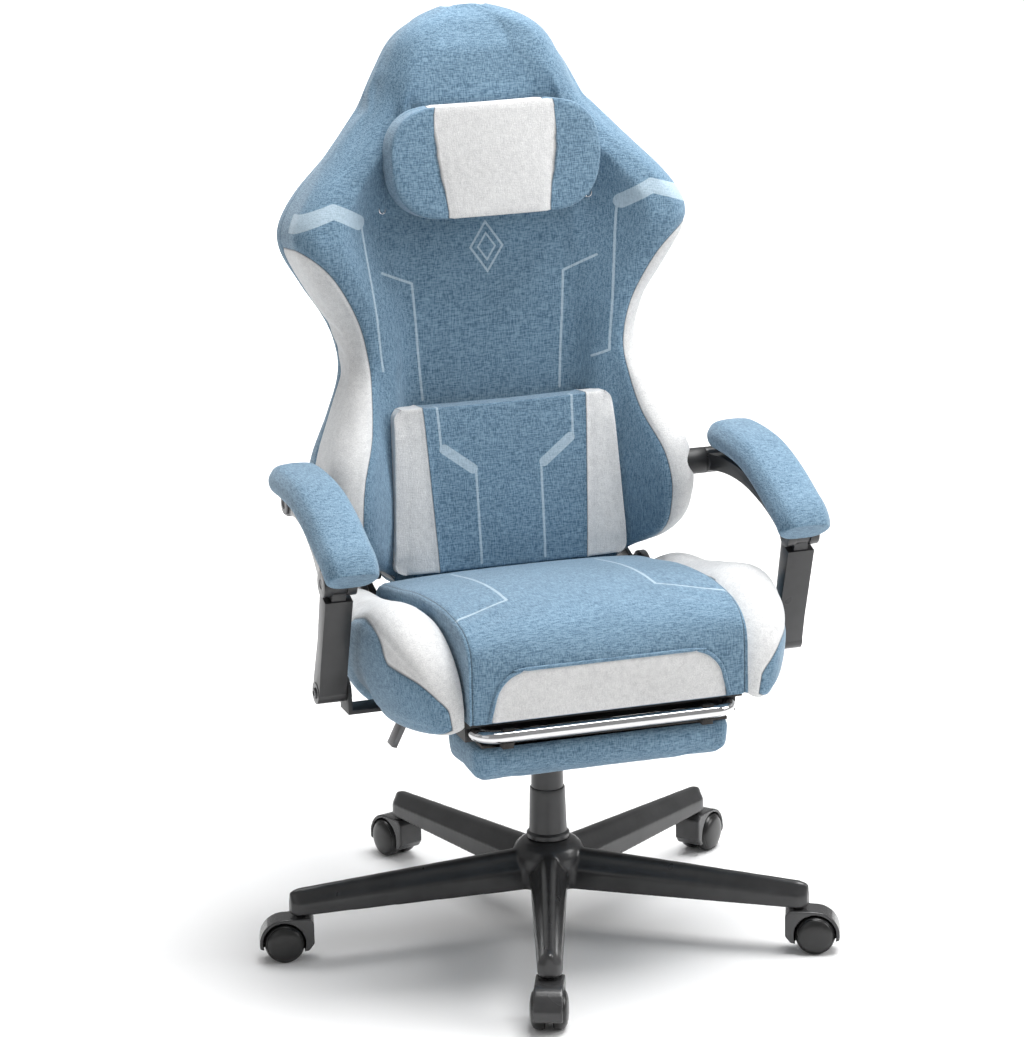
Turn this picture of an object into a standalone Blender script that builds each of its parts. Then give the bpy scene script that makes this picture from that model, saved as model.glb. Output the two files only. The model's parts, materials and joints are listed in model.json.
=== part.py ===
"""A gaming chair with a linked armrest pair, a pull-out footrest and a five-star castor base.

Metres, +Z up. The chair faces -Y. The origin is the middle of the footprint, on the floor.
Heights and lengths below are measured from the floor and from the column's axis.
"""

import math

import bmesh
import bpy
from mathutils import Matrix, Vector

# Fits ---------------------------------------------------------------------------------------
TOUCH_GAP = 0.0004  # between pieces that rest on each other
RUNNING_GAP = 0.0003  # round a pin, rod or tube that turns or slides

# Castors ------------------------------------------------------------------------------------
ARM_COUNT = 5
STEM_CIRCLE_RADIUS = 0.33
BASE_HEADING = -108.6  # degrees from +X to the first arm
CASTOR_HEADINGS = (-4.0, 14.0, 5.0, 2.0, -14.0)  # degrees from each arm to its castor's trail
WHEEL_SIDES = 24
WHEEL_RADIUS = 0.0255
WHEEL_THICKNESS = 0.0175
WHEEL_DOME = 0.0035
CASTOR_TRAIL = 0.022
HOOD_WIDTH = 0.036
HOOD_WEB = 0.010
HOOD_WALL = 0.0045
HOOD_TO_WHEEL = 0.0015
HOOD_TOP_ABOVE_WHEEL = 0.0065
CASTOR_TOP = 2 * WHEEL_RADIUS + HOOD_TOP_ABOVE_WHEEL
HOOD_BLOCK_FRONT = 0.016
STEM_RADIUS = 0.0055
STEM_LENGTH = 0.024
AXLE_RADIUS = 0.003

# Star base ----------------------------------------------------------------------------------
HUB_RADIUS = 0.048
TIP_TO_HOOD = 0.003
ARM_BOTTOM = CASTOR_TOP + TIP_TO_HOOD
HUB_BOTTOM = ARM_BOTTOM - 0.0005
HUB_TOP = HUB_BOTTOM + 0.062
ARM_ROOT_HEIGHT = 0.050
ARM_ROOT_WIDTH = 0.050
ARM_TIP_HEIGHT = 0.0255
ARM_TIP_WIDTH = 0.033
TIP_KNOB_RADIUS = 0.0175
TIP_KNOB_TOP = ARM_BOTTOM + 0.0285

# Gas lift and its telescopic cover ----------------------------------------------------------
LIFT_TRAVEL = 0.08
CYLINDER_RADIUS = 0.019
CYLINDER_BOTTOM = HUB_BOTTOM + 0.004
CYLINDER_TOP = 0.186
ROD_RADIUS = 0.0105
ROD_BOTTOM = CYLINDER_BOTTOM + 0.016
ROD_TOP = 0.306
CYLINDER_BORE = 0.0145
SLEEVE_WALL = 0.0018
LOWER_COVER_TOP = 0.190
LOWER_COVER_FOOT_RADIUS = 0.0275
MIDDLE_COVER_BOTTOM = HUB_TOP + 0.010
MIDDLE_COVER_TOP = 0.236
UPPER_COVER_BOTTOM = 0.192
UPPER_COVER_TOP = 0.2695

# Tilt mechanism -----------------------------------------------------------------------------
HOUSING_BOTTOM = 0.270
HOUSING_TOP = 0.342
HOUSING_REAR_TOP = 0.314  # low enough for the seat to tip back over it
HOUSING_FRONT = -0.086
HOUSING_REAR = 0.110
HOUSING_HALF_WIDTH = 0.050
HOUSING_WALL = 0.004
SOCKET_RADIUS = 0.019
TILT_PIN_RADIUS = 0.006
TILT_PIN_Y = -0.066
TILT_PIN_Z = 0.326
TILT_PLATE_HALF_WIDTH = 0.090
TILT_PLATE_THICKNESS = 0.005
TILT_RANGE = 10.0
KNOB_RADIUS = 0.019
KNOB_HEIGHT = 0.030
KNOB_Y = -0.060
LEVER_RADIUS = 0.005
LEVER_Y = 0.012
LEVER_Z = 0.296
LEVER_SWING_GAP = 0.002  # room for the lever to tip in its hole

# Seat ---------------------------------------------------------------------------------------
SEAT_HALF_WIDTH = 0.180
BOLSTER_WIDTH = 0.0975
LEVER_REACH = SEAT_HALF_WIDTH + 0.025
PAN_BOTTOM = 0.3565
PAN_THICKNESS = 0.009
PAN_FRONT = -0.226
PAN_REAR = 0.208
CUSHION_FRONT = -0.247
CUSHION_REAR = 0.142
CUSHION_CREST = 0.489
CUSHION_BACK_TOP = 0.446
CUSHION_EDGE_RADIUS = 0.010
BOLSTER_GAP = 0.0025
# (y, share of the bolster's width, top, bottom) along each seat bolster, front to back
BOLSTER_STATIONS = (
    (-0.238, 0.27, 0.392, 0.352),
    (-0.222, 0.50, 0.428, 0.342),
    (-0.190, 0.78, 0.463, 0.334),
    (-0.150, 0.94, 0.484, 0.330),
    (-0.100, 1.00, 0.489, 0.328),
    (-0.040, 1.00, 0.474, 0.330),
    (0.050, 0.94, 0.455, 0.335),
    (0.137, 0.80, 0.446, 0.342),
)

# Footrest -----------------------------------------------------------------------------------
FOOT_TUBE_RADIUS = 0.008
FOOT_TUBE_Z = PAN_BOTTOM - FOOT_TUBE_RADIUS - 0.0025
FOOT_TUBE_FRONT = -0.240
FOOT_TUBE_REAR = 0.055
FOOT_TUBE_HALF_SPAN = SEAT_HALF_WIDTH - 0.015
FOOT_TUBE_BEND = 0.022
FOOT_TRAVEL = 0.26
RAIL_FRONT = -0.214
RAIL_REAR = 0.068
RAIL_WALL = 0.0025
FOOT_PAD_HALF_WIDTH = SEAT_HALF_WIDTH - 0.011
FOOT_PAD_SETBACK = 0.018
FOOT_PAD_DEPTH = 0.120
FOOT_PAD_THICKNESS = 0.050
FOOT_PAD_CORNER = 0.012
FOOT_BOARD_THICKNESS = 0.004
CLAMP_OUTER = 0.136
CLAMP_WIDTH = 0.014
CLAMP_WALL = 0.002
CLAMP_MOUTH = 0.0035  # the clamps are open ahead of this line

# Recline hinge ------------------------------------------------------------------------------
PIVOT_Y = 0.165
PIVOT_Z = 0.412
RECLINE_RANGE = 45.0
BACK_TILT = 7.0  # degrees from upright at rest
HINGE_PIN_RADIUS = 0.008
HINGE_PLATE = 0.005
HINGE_EYE_RADIUS = 0.021
LUG_EYE_RADIUS = 0.017
HINGE_FOOT_FRONT = 0.148
HINGE_FOOT_REAR = 0.204
COVER_RADIUS = 0.026
COVER_THICKNESS = 0.010
RECLINE_LEVER_LENGTH = 0.085
RECLINE_LEVER_X = SEAT_HALF_WIDTH + BOLSTER_WIDTH + 0.0065

# Backrest, in its own upright frame from the recline pivot ---------------------------------------
BACK_FRAME_PLANE = 0.050
BACK_FRAME_RADIUS = 0.010
BACK_FRAME_HALF_SPAN = SEAT_HALF_WIDTH - 0.020
BACK_FRAME_NECK_HALF_SPAN = BACK_FRAME_HALF_SPAN - 0.075
BACK_FRAME_TOP = 0.645
BACK_FRAME_SHOULDER = 0.500
GROOVE_GAP = 0.002
BACK_SPLIT = 0.062  # plane between the padded front and the rear panel
BACK_PANEL_THICKNESS = 0.022
BACK_HALF_WIDTH = SEAT_HALF_WIDTH + 0.084
# (height, half-width, wing front, inner half-width, centre front) up the padded back;
# both half-widths are shares of the widest one
BACK_STATIONS = (
    (0.037, 0.720, -0.030, 0.568, 0.008),
    (0.050, 0.826, -0.058, 0.576, 0.006),
    (0.075, 0.902, -0.080, 0.580, 0.005),
    (0.105, 0.932, -0.090, 0.583, 0.005),
    (0.136, 0.936, -0.093, 0.583, 0.005),
    (0.184, 0.909, -0.085, 0.576, 0.005),
    (0.244, 0.807, -0.056, 0.553, 0.004),
    (0.298, 0.735, -0.034, 0.530, 0.001),
    (0.354, 0.773, -0.038, 0.553, -0.006),
    (0.410, 0.902, -0.052, 0.629, -0.010),
    (0.454, 0.996, -0.062, 0.682, -0.011),
    (0.486, 1.000, -0.062, 0.682, -0.011),
    (0.524, 0.905, -0.054, 0.606, -0.012),
    (0.572, 0.727, -0.040, 0.492, -0.014),
    (0.624, 0.561, -0.024, 0.356, -0.016),
    (0.679, 0.451, -0.023, 0.250, -0.016),
    (0.719, 0.360, -0.018, 0.159, -0.012),
    (0.741, 0.250, -0.010, 0.098, -0.002),
    (0.750, 0.114, 0.006, 0.061, 0.010),
)
REAR_TAPER = 0.026  # how much narrower the back of the shell is than its widest line

HEAD_PILLOW_HALF_WIDTH = 0.54 * BACK_HALF_WIDTH
HEAD_PILLOW_HEIGHT = 0.148
HEAD_PILLOW_CENTRE = 0.559
HEAD_PILLOW_DEPTH = 0.0585
HEAD_PILLOW_BACK = -0.0275
HEAD_PILLOW_CORNER = 0.028
LUMBAR_TOP_HALF_WIDTH = 0.553 * BACK_HALF_WIDTH
LUMBAR_FOOT_HALF_WIDTH = 0.591 * BACK_HALF_WIDTH
LUMBAR_BOTTOM = 0.041
LUMBAR_TOP = 0.249
LUMBAR_DEPTH = 0.046
LUMBAR_BACK = -0.0075
LUMBAR_CORNER = 0.014

# Armrest linkage ----------------------------------------------------------------------------
ARM_REAR_X = BACK_HALF_WIDTH + 0.017
KNUCKLE_X = SEAT_HALF_WIDTH + BOLSTER_WIDTH + 0.0245
ARM_HALF_WIDTH = 0.020
ARM_PIVOT_Y = 0.115  # rear pivot, on the backrest
ARM_PIVOT_Z = 0.566
KNUCKLE_Y = -0.112
KNUCKLE_Z = 0.524
KNUCKLE_RADIUS = 0.017
BOSS_PROUD = 0.0008  # how far round bosses stand out of a moulded side
LUG_RADIUS = 0.017
LINK_PIN_RADIUS = 0.006
TONGUE_WIDTH = 0.018
STRUT_HALF_WIDTH = 0.0175
STRUT_DEPTH = 0.026
STRUT_FOOT_RADIUS = 0.014
ARM_PAD_HALF_WIDTH = 0.034
ARM_PAD_THICKNESS = 0.034
MOUNT_BOSS_RADIUS = 0.017
MOUNT_BOSS_ROOT = 0.84 * BACK_HALF_WIDTH
STRUT_PLATE = 0.005
STRUT_PLATE_HALF_DEPTH = 0.018
STRUT_BAR_Z = 0.3235
STRUT_NOTCH_TOP = 0.3480  # roof of the notch under each bolster that the bar rises into

ROUND_STEPS = 24
COLOURS = {
    "blue_fabric": ((0.13, 0.24, 0.38), 0.9, 0.0),
    "pale_fabric": ((0.78, 0.79, 0.80), 0.9, 0.0),
    "dark_plastic": ((0.045, 0.046, 0.048), 0.42, 0.0),
    "gloss_plastic": ((0.012, 0.012, 0.013), 0.22, 0.0),
    "chrome": ((0.82, 0.82, 0.83), 0.08, 1.0),
    "grey_steel": ((0.20, 0.20, 0.21), 0.45, 0.8),
    "black_steel": ((0.03, 0.03, 0.03), 0.5, 0.3),
    "plywood": ((0.42, 0.30, 0.18), 0.7, 0.0),
}


# Small tools --------------------------------------------------------------------------------
def clear_scene():
    for obj in list(bpy.data.objects):
        bpy.data.objects.remove(obj, do_unlink=True)


def make_materials():
    found = {}
    for name, (colour, roughness, metallic) in COLOURS.items():
        material = bpy.data.materials.new(name)
        material.use_nodes = True
        shader = material.node_tree.nodes["Principled BSDF"]
        shader.inputs["Base Color"].default_value = (*colour, 1.0)
        shader.inputs["Roughness"].default_value = roughness
        shader.inputs["Metallic"].default_value = metallic
        found[name] = material
    return found


def make_empty(name, parent=None, location=(0, 0, 0), rotation=(0, 0, 0)):
    """An empty on a joint's axis or at a frame's origin; location and degrees are in the parent."""
    empty = bpy.data.objects.new(name, None)
    empty.empty_display_size = 0.05
    empty.parent = parent
    empty.location = location
    empty.rotation_euler = [math.radians(angle) for angle in rotation]
    bpy.context.scene.collection.objects.link(empty)
    return empty


def add_piece(name, bm, material, parent, location=(0, 0, 0), smooth=40.0):
    bmesh.ops.remove_doubles(bm, verts=bm.verts, dist=1e-6)
    bmesh.ops.recalc_face_normals(bm, faces=bm.faces)
    mesh = bpy.data.meshes.new(name)
    bm.to_mesh(mesh)
    bm.free()
    mesh.materials.append(material)
    mesh.shade_smooth()
    mesh.set_sharp_from_angle(angle=math.radians(smooth))
    obj = bpy.data.objects.new(name, mesh)
    obj.parent = parent
    obj.location = location
    bpy.context.scene.collection.objects.link(obj)
    return obj


def add_cutter(name, bm, parent, location=(0, 0, 0)):
    mesh = bpy.data.meshes.new(name)
    bmesh.ops.remove_doubles(bm, verts=bm.verts, dist=1e-6)
    bmesh.ops.recalc_face_normals(bm, faces=bm.faces)
    bm.to_mesh(mesh)
    bm.free()
    cutter = bpy.data.objects.new(name, mesh)
    cutter.parent = parent
    cutter.location = location
    cutter.hide_render = True
    cutter.display_type = "WIRE"
    bpy.context.scene.collection.objects.link(cutter)
    return cutter


def combine(obj, other, operation):
    modifier = obj.modifiers.new(f"{operation.lower()}_{other.name}", "BOOLEAN")
    modifier.operation = operation
    modifier.object = other
    modifier.solver = "EXACT"


def cut(obj, cutter):
    combine(obj, cutter, "DIFFERENCE")


def join(obj, addition):
    combine(obj, addition, "UNION")


def bevel(obj, width, segments=2, angle=40.0):
    modifier = obj.modifiers.new("rounded_edges", "BEVEL")
    modifier.width = width
    modifier.segments = segments
    modifier.limit_method = "ANGLE"
    modifier.angle_limit = math.radians(angle)


# Mesh shapes --------------------------------------------------------------------------------
def turned(profile, steps=ROUND_STEPS, turn="Z", ring=False):
    """A turned solid from (radius, height) points; a ring's profile closes on itself."""
    bm = bmesh.new()
    verts = [bm.verts.new((radius, 0.0, height)) for radius, height in profile]
    pairs = list(zip(verts, verts[1:]))
    if ring:
        pairs.append((verts[-1], verts[0]))
    edges = [bm.edges.new(pair) for pair in pairs]
    bmesh.ops.rotate(bm, verts=verts, matrix=Matrix.Rotation(math.pi / steps, 3, "Z"))
    bmesh.ops.spin(
        bm,
        geom=verts + edges,
        axis=(0, 0, 1),
        cent=(0, 0, 0),
        angle=2 * math.pi,
        steps=steps,
        use_merge=True,
    )
    bmesh.ops.remove_doubles(bm, verts=bm.verts, dist=1e-6)
    turn_to(bm, turn)
    return bm


def turn_to(bm, turn):
    """Lays a shape that was made along Z along X or Y."""
    if turn == "X":
        bmesh.ops.rotate(bm, verts=bm.verts, matrix=Matrix.Rotation(math.pi / 2, 3, "Y"))
    elif turn == "Y":
        bmesh.ops.rotate(bm, verts=bm.verts, matrix=Matrix.Rotation(-math.pi / 2, 3, "X"))


def rod(radius, low, high, steps=ROUND_STEPS, turn="Z"):
    return turned([(0, low), (radius, low), (radius, high), (0, high)], steps, turn)


def sleeve(inner, outer, low, high, steps=ROUND_STEPS, turn="Z"):
    return turned([(inner, low), (outer, low), (outer, high), (inner, high)], steps, turn, ring=True)


def box(low, high):
    bm = bmesh.new()
    bmesh.ops.create_cube(bm, size=1.0)
    size = [b - a for a, b in zip(low, high)]
    middle = [(a + b) / 2 for a, b in zip(low, high)]
    bmesh.ops.scale(bm, verts=bm.verts, vec=size)
    bmesh.ops.translate(bm, verts=bm.verts, vec=middle)
    return bm


def plate(outline, low, high, across="X"):
    """An outline extruded from low to high along X (points are y, z) or along Y (points are x, z)."""
    bm = bmesh.new()
    if across == "X":
        verts = [bm.verts.new((low, a, b)) for a, b in outline]
        step = Vector((high - low, 0, 0))
    else:
        verts = [bm.verts.new((a, low, b)) for a, b in outline]
        step = Vector((0, high - low, 0))
    face = bm.faces.new(verts)
    grown = bmesh.ops.extrude_face_region(bm, geom=[face])["geom"]
    bmesh.ops.translate(bm, vec=step, verts=[v for v in grown if isinstance(v, bmesh.types.BMVert)])
    return bm


def skin(rings):
    """A closed solid through rings of equal point counts."""
    bm = bmesh.new()
    rows = [[bm.verts.new(point) for point in ring] for ring in rings]
    for low, high in zip(rows, rows[1:]):
        for k in range(len(low)):
            after = (k + 1) % len(low)
            bm.faces.new((low[k], low[after], high[after], high[k]))
    bm.faces.new(rows[0])
    bm.faces.new(rows[-1])
    return bm


def arc(centre, radius, start, end, steps):
    """Points on an arc, angles in degrees from the first axis towards the second."""
    angles = [math.radians(start + (end - start) * k / steps) for k in range(steps + 1)]
    return [(centre[0] + radius * math.cos(a), centre[1] + radius * math.sin(a)) for a in angles]


def rounded_ring(half_width, low, high, radius, steps=2):
    """A rounded rectangle of (across, up) points."""
    corners = (
        ((half_width - radius, low + radius), -90),
        ((half_width - radius, high - radius), 0),
        ((-half_width + radius, high - radius), 90),
        ((-half_width + radius, low + radius), 180),
    )
    points = []
    for centre, start in corners:
        points += arc(centre, radius, start, start + 90, steps)
    return points


def smooth_path(points, per_span=4):
    """Points on a smooth curve through the given (a, b) points."""
    ends = [points[0], *points, points[-1]]
    found = []
    for before, start, end, after in zip(ends, ends[1:], ends[2:], ends[3:]):
        for k in range(per_span):
            t = k / per_span
            found.append(
                tuple(
                    0.5
                    * (
                        2 * s
                        + (e - b) * t
                        + (2 * b - 5 * s + 4 * e - a) * t * t
                        + (3 * s - b - 3 * e + a) * t**3
                    )
                    for b, s, e, a in zip(before, start, end, after)
                )
            )
    found.append(tuple(points[-1]))
    return found


# Base and castors ---------------------------------------------------------------------------
def make_star_base(materials, frame):
    profile = [
        (0, HUB_BOTTOM),
        (HUB_RADIUS * 0.92, HUB_BOTTOM),
        (HUB_RADIUS, HUB_BOTTOM + 0.006),
        (HUB_RADIUS * 0.98, HUB_TOP - 0.026),
        (HUB_RADIUS * 0.88, HUB_TOP - 0.010),
        (HUB_RADIUS * 0.68, HUB_TOP - 0.001),
        (HUB_RADIUS * 0.60, HUB_TOP),
        (0, HUB_TOP),
    ]
    base = add_piece("star_base", turned(profile, 40), materials["dark_plastic"], frame)
    for index in range(ARM_COUNT):
        turn = Matrix.Rotation(2 * math.pi * index / ARM_COUNT, 3, "Z")
        arm = star_arm()
        bmesh.ops.rotate(arm, verts=arm.verts, matrix=turn)
        join(base, add_cutter(f"arm_shape_{index + 1}", arm, frame))
        knob = turned(
            [
                (0, ARM_BOTTOM),
                (TIP_KNOB_RADIUS, ARM_BOTTOM),
                (TIP_KNOB_RADIUS, TIP_KNOB_TOP - 0.010),
                (TIP_KNOB_RADIUS * 0.80, TIP_KNOB_TOP - 0.003),
                (TIP_KNOB_RADIUS * 0.40, TIP_KNOB_TOP),
                (0, TIP_KNOB_TOP),
            ],
            20,
        )
        bmesh.ops.translate(knob, verts=knob.verts, vec=(STEM_CIRCLE_RADIUS, 0, 0))
        bmesh.ops.rotate(knob, verts=knob.verts, matrix=turn)
        join(base, add_cutter(f"tip_shape_{index + 1}", knob, frame))
        socket = rod(STEM_RADIUS + RUNNING_GAP, ARM_BOTTOM - 0.01, CASTOR_TOP + STEM_LENGTH + 0.001, 16)
        bmesh.ops.translate(socket, verts=socket.verts, vec=(STEM_CIRCLE_RADIUS, 0, 0))
        bmesh.ops.rotate(socket, verts=socket.verts, matrix=turn)
        cut(base, add_cutter(f"stem_socket_{index + 1}", socket, frame))
    bore = rod(CYLINDER_RADIUS + RUNNING_GAP, CYLINDER_BOTTOM - TOUCH_GAP, HUB_TOP + 0.02)
    cut(base, add_cutter("column_bore", bore, frame))
    return base


def star_arm():
    """One arm along +X, tapering from the hub to the tip knob."""
    start = HUB_RADIUS * 0.5
    end = STEM_CIRCLE_RADIUS
    rings = []
    for share in (0.0, 0.35, 1.0):
        width = ARM_ROOT_WIDTH + (ARM_TIP_WIDTH - ARM_ROOT_WIDTH) * share
        height = ARM_ROOT_HEIGHT + (ARM_TIP_HEIGHT - ARM_ROOT_HEIGHT) * share
        ring = rounded_ring(width / 2, ARM_BOTTOM, ARM_BOTTOM + height, width * 0.30)
        # the sides lean in towards the top
        lean = [(a * (1 - 0.16 * (b - ARM_BOTTOM) / height), b) for a, b in ring]
        rings.append([(start + (end - start) * share, a, b) for a, b in lean])
    return skin(rings)


def wheel_centre_height():
    """The flat under each faceted tread lies on the floor."""
    return WHEEL_RADIUS * math.cos(math.pi / WHEEL_SIDES)


def make_castor(number, materials, frame, heading, offset):
    angle = math.radians(heading)
    x = STEM_CIRCLE_RADIUS * math.cos(angle)
    y = STEM_CIRCLE_RADIUS * math.sin(angle)
    swivel = make_empty(f"castor_swivel_{number}", frame, (x, y, 0), (0, 0, heading + offset))
    axle_z = wheel_centre_height()
    wheels = make_empty(f"castor_wheels_{number}", swivel, (CASTOR_TRAIL, 0, axle_z))
    pocket = WHEEL_RADIUS + HOOD_TO_WHEEL
    outer = pocket + HOOD_WALL
    outline = [
        (-HOOD_BLOCK_FRONT, CASTOR_TOP - 0.006),
        (-HOOD_BLOCK_FRONT, 0.024),
        (-HOOD_BLOCK_FRONT + 0.007, 0.015),
        (CASTOR_TRAIL - 0.010, 0.012),
        (CASTOR_TRAIL + 0.012, 0.013),
    ]
    outline += [
        (CASTOR_TRAIL + a, axle_z + b) for a, b in arc((0, 0), outer, -12, 84, 8)
    ]
    outline += [(0.010, CASTOR_TOP), (-0.011, CASTOR_TOP)]
    hood = add_piece(
        f"castor_hood_{number}",
        plate([(b, c) for b, c in outline], -HOOD_WIDTH / 2, HOOD_WIDTH / 2, "Y"),
        materials["gloss_plastic"],
        swivel,
    )
    for side in (-1, 1):
        low, high = sorted((side * HOOD_WEB / 2, side * HOOD_WIDTH))
        shape = rod(pocket, low, high, WHEEL_SIDES, "Y")
        spot = (CASTOR_TRAIL, 0, axle_z)
        cut(hood, add_cutter(f"wheel_pocket_{number}_{'lr'[side > 0]}", shape, swivel, spot))
    bore = rod(AXLE_RADIUS + RUNNING_GAP, -HOOD_WIDTH, HOOD_WIDTH, 12, "Y")
    cut(hood, add_cutter(f"axle_bore_{number}", bore, swivel, (CASTOR_TRAIL, 0, axle_z)))
    stem = rod(STEM_RADIUS, CASTOR_TOP - 0.004, CASTOR_TOP + STEM_LENGTH, 16)
    join(hood, add_cutter(f"stem_shape_{number}", stem, swivel))
    half = HOOD_WEB / 2 + WHEEL_THICKNESS - 0.003
    add_piece(
        f"castor_axle_{number}",
        rod(AXLE_RADIUS, -half, half, 12, "Y"),
        materials["grey_steel"],
        swivel,
        (CASTOR_TRAIL, 0, axle_z),
    )
    for side in (-1, 1):
        add_piece(
            f"castor_wheel_{'lr'[side > 0]}_{number}",
            castor_wheel(side),
            materials["gloss_plastic"],
            wheels,
        )


def castor_wheel(side):
    """One wheel, with its flat inner face, blind axle bore, round tread edge and domed outer face."""
    inner = HOOD_WEB / 2 + 0.0006
    outer = inner + WHEEL_THICKNESS
    bore = AXLE_RADIUS + RUNNING_GAP
    profile = [
        (bore, inner),
        (WHEEL_RADIUS - 0.0015, inner),
        (WHEEL_RADIUS, inner + 0.0015),
        (WHEEL_RADIUS, outer - 0.004),
        (WHEEL_RADIUS - 0.002, outer - 0.001),
        (WHEEL_RADIUS * 0.62, outer + WHEEL_DOME * 0.75),
        (0, outer + WHEEL_DOME),
    ]
    closing = [(0, outer - 0.002), (bore, outer - 0.002)]
    bm = turned(profile + closing, WHEEL_SIDES, ring=True)
    # spin leaves a doubled seam along the axis, so the wheel is kept open only at its bore
    axis_edges = [e for e in bm.edges if all(v.co.xy.length < 1e-7 for v in e.verts)]
    bmesh.ops.delete(bm, geom=axis_edges, context="EDGES")
    turn_to(bm, "Y")
    if side < 0:
        bmesh.ops.rotate(bm, verts=bm.verts, matrix=Matrix.Rotation(math.pi, 3, "Z"))
    return bm


# Column -------------------------------------------------------------------------------------
def lower_cover_inner():
    return CYLINDER_RADIUS + RUNNING_GAP + SLEEVE_WALL + RUNNING_GAP


def make_column(materials, frame, middle, piston, mechanism):
    cylinder = rod(CYLINDER_RADIUS, CYLINDER_BOTTOM, CYLINDER_TOP)
    tube = add_piece("gas_cylinder", cylinder, materials["black_steel"], frame)
    bore = rod(CYLINDER_BORE, ROD_BOTTOM - 0.006, CYLINDER_TOP + 0.01)
    cut(tube, add_cutter("piston_bore", bore, frame))
    inner = lower_cover_inner()
    foot = HUB_TOP + TOUCH_GAP
    profile = [
        (inner, foot),
        (LOWER_COVER_FOOT_RADIUS, foot),
        (LOWER_COVER_FOOT_RADIUS, foot + 0.004),
        (inner + SLEEVE_WALL, LOWER_COVER_TOP - 0.002),
        (inner + SLEEVE_WALL * 0.6, LOWER_COVER_TOP),
        (inner, LOWER_COVER_TOP),
    ]
    add_piece("cover_lower", turned(profile, ring=True), materials["dark_plastic"], frame)
    middle_inner = CYLINDER_RADIUS + RUNNING_GAP
    shape = sleeve(middle_inner, middle_inner + SLEEVE_WALL, MIDDLE_COVER_BOTTOM, MIDDLE_COVER_TOP)
    add_piece("cover_middle", shape, materials["dark_plastic"], middle)
    upper_outer = middle_inner - RUNNING_GAP
    shape = sleeve(upper_outer - SLEEVE_WALL, upper_outer, UPPER_COVER_BOTTOM, UPPER_COVER_TOP)
    add_piece("cover_upper", shape, materials["dark_plastic"], mechanism)
    shape = rod(ROD_RADIUS, ROD_BOTTOM, ROD_TOP)
    add_piece("piston_rod", shape, materials["chrome"], piston)


# Mechanism ----------------------------------------------------------------------------------
def make_mechanism(materials, mechanism, knob, lever):
    outline = [
        (HOUSING_FRONT, HOUSING_BOTTOM),
        (HOUSING_REAR, HOUSING_BOTTOM),
        (HOUSING_REAR, HOUSING_REAR_TOP),
        (TILT_PIN_Y + 0.016, HOUSING_TOP),
        (HOUSING_FRONT, HOUSING_TOP),
    ]
    shape = plate(outline, -HOUSING_HALF_WIDTH, HOUSING_HALF_WIDTH)
    housing = add_piece("mechanism_housing", shape, materials["black_steel"], mechanism)
    inside = box(
        (-HOUSING_HALF_WIDTH + HOUSING_WALL, HOUSING_FRONT + HOUSING_WALL, HOUSING_BOTTOM + HOUSING_WALL),
        (HOUSING_HALF_WIDTH - HOUSING_WALL, HOUSING_REAR - HOUSING_WALL, HOUSING_TOP + 0.02),
    )
    cut(housing, add_cutter("housing_hollow", inside, mechanism))
    socket = rod(SOCKET_RADIUS, HOUSING_BOTTOM, ROD_TOP + 0.012)
    join(housing, add_cutter("socket_shape", socket, mechanism))
    bore = rod(ROD_RADIUS + RUNNING_GAP, HOUSING_BOTTOM - 0.01, ROD_TOP + TOUCH_GAP)
    cut(housing, add_cutter("rod_bore", bore, mechanism))
    for name, radius, low, high, spot, turn in (
        (
            "pin_bore",
            TILT_PIN_RADIUS + RUNNING_GAP,
            -HOUSING_HALF_WIDTH - 0.01,
            HOUSING_HALF_WIDTH + 0.01,
            (0, TILT_PIN_Y, TILT_PIN_Z),
            "X",
        ),
        ("knob_bore", 0.0045, HOUSING_BOTTOM - 0.01, HOUSING_BOTTOM + 0.01, (0, KNOB_Y, 0), "Z"),
        (
            "lever_bore",
            LEVER_RADIUS + LEVER_SWING_GAP,
            -HOUSING_HALF_WIDTH - 0.01,
            -HOUSING_HALF_WIDTH + 0.01,
            (0, LEVER_Y, LEVER_Z),
            "X",
        ),
    ):
        cut(housing, add_cutter(name, rod(radius, low, high, 16, turn), mechanism, spot))
    pin = rod(TILT_PIN_RADIUS, -HOUSING_HALF_WIDTH - 0.014, HOUSING_HALF_WIDTH + 0.014, 16, "X")
    add_piece("tilt_pin", pin, materials["grey_steel"], mechanism, (0, TILT_PIN_Y, TILT_PIN_Z))
    top = HOUSING_BOTTOM - 0.0015
    knob_profile = [
        (0, top - KNOB_HEIGHT),
        (KNOB_RADIUS * 0.86, top - KNOB_HEIGHT),
        (KNOB_RADIUS, top - KNOB_HEIGHT + 0.004),
        (KNOB_RADIUS * 0.92, top),
        (0.0042, top),
        (0.0042, HOUSING_BOTTOM + 0.034),
        (0, HOUSING_BOTTOM + 0.034),
    ]
    add_piece("tension_knob", turned(knob_profile, 20), materials["gloss_plastic"], knob)
    make_lift_lever(materials, lever)


def make_lift_lever(materials, lever):
    """A rod from inside the housing that ends in a flat paddle turned down, hinged where it enters."""
    inner_end = HOUSING_WALL + 0.012
    reach = LEVER_REACH - HOUSING_HALF_WIDTH
    obj = add_piece(
        "lift_lever",
        rod(LEVER_RADIUS, -reach + 0.030, inner_end, 16, "X"),
        materials["grey_steel"],
        lever,
    )
    outline = [(-reach, -0.030), (-reach + 0.006, -0.032), (-reach + 0.020, -0.004), (-reach + 0.040, -0.004)]
    outline += [(-reach + 0.040, 0.003), (-reach + 0.016, 0.003)]
    paddle = plate(outline, -0.011, 0.011, "Y")
    join(obj, add_cutter("lever_paddle_shape", paddle, lever))


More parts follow.
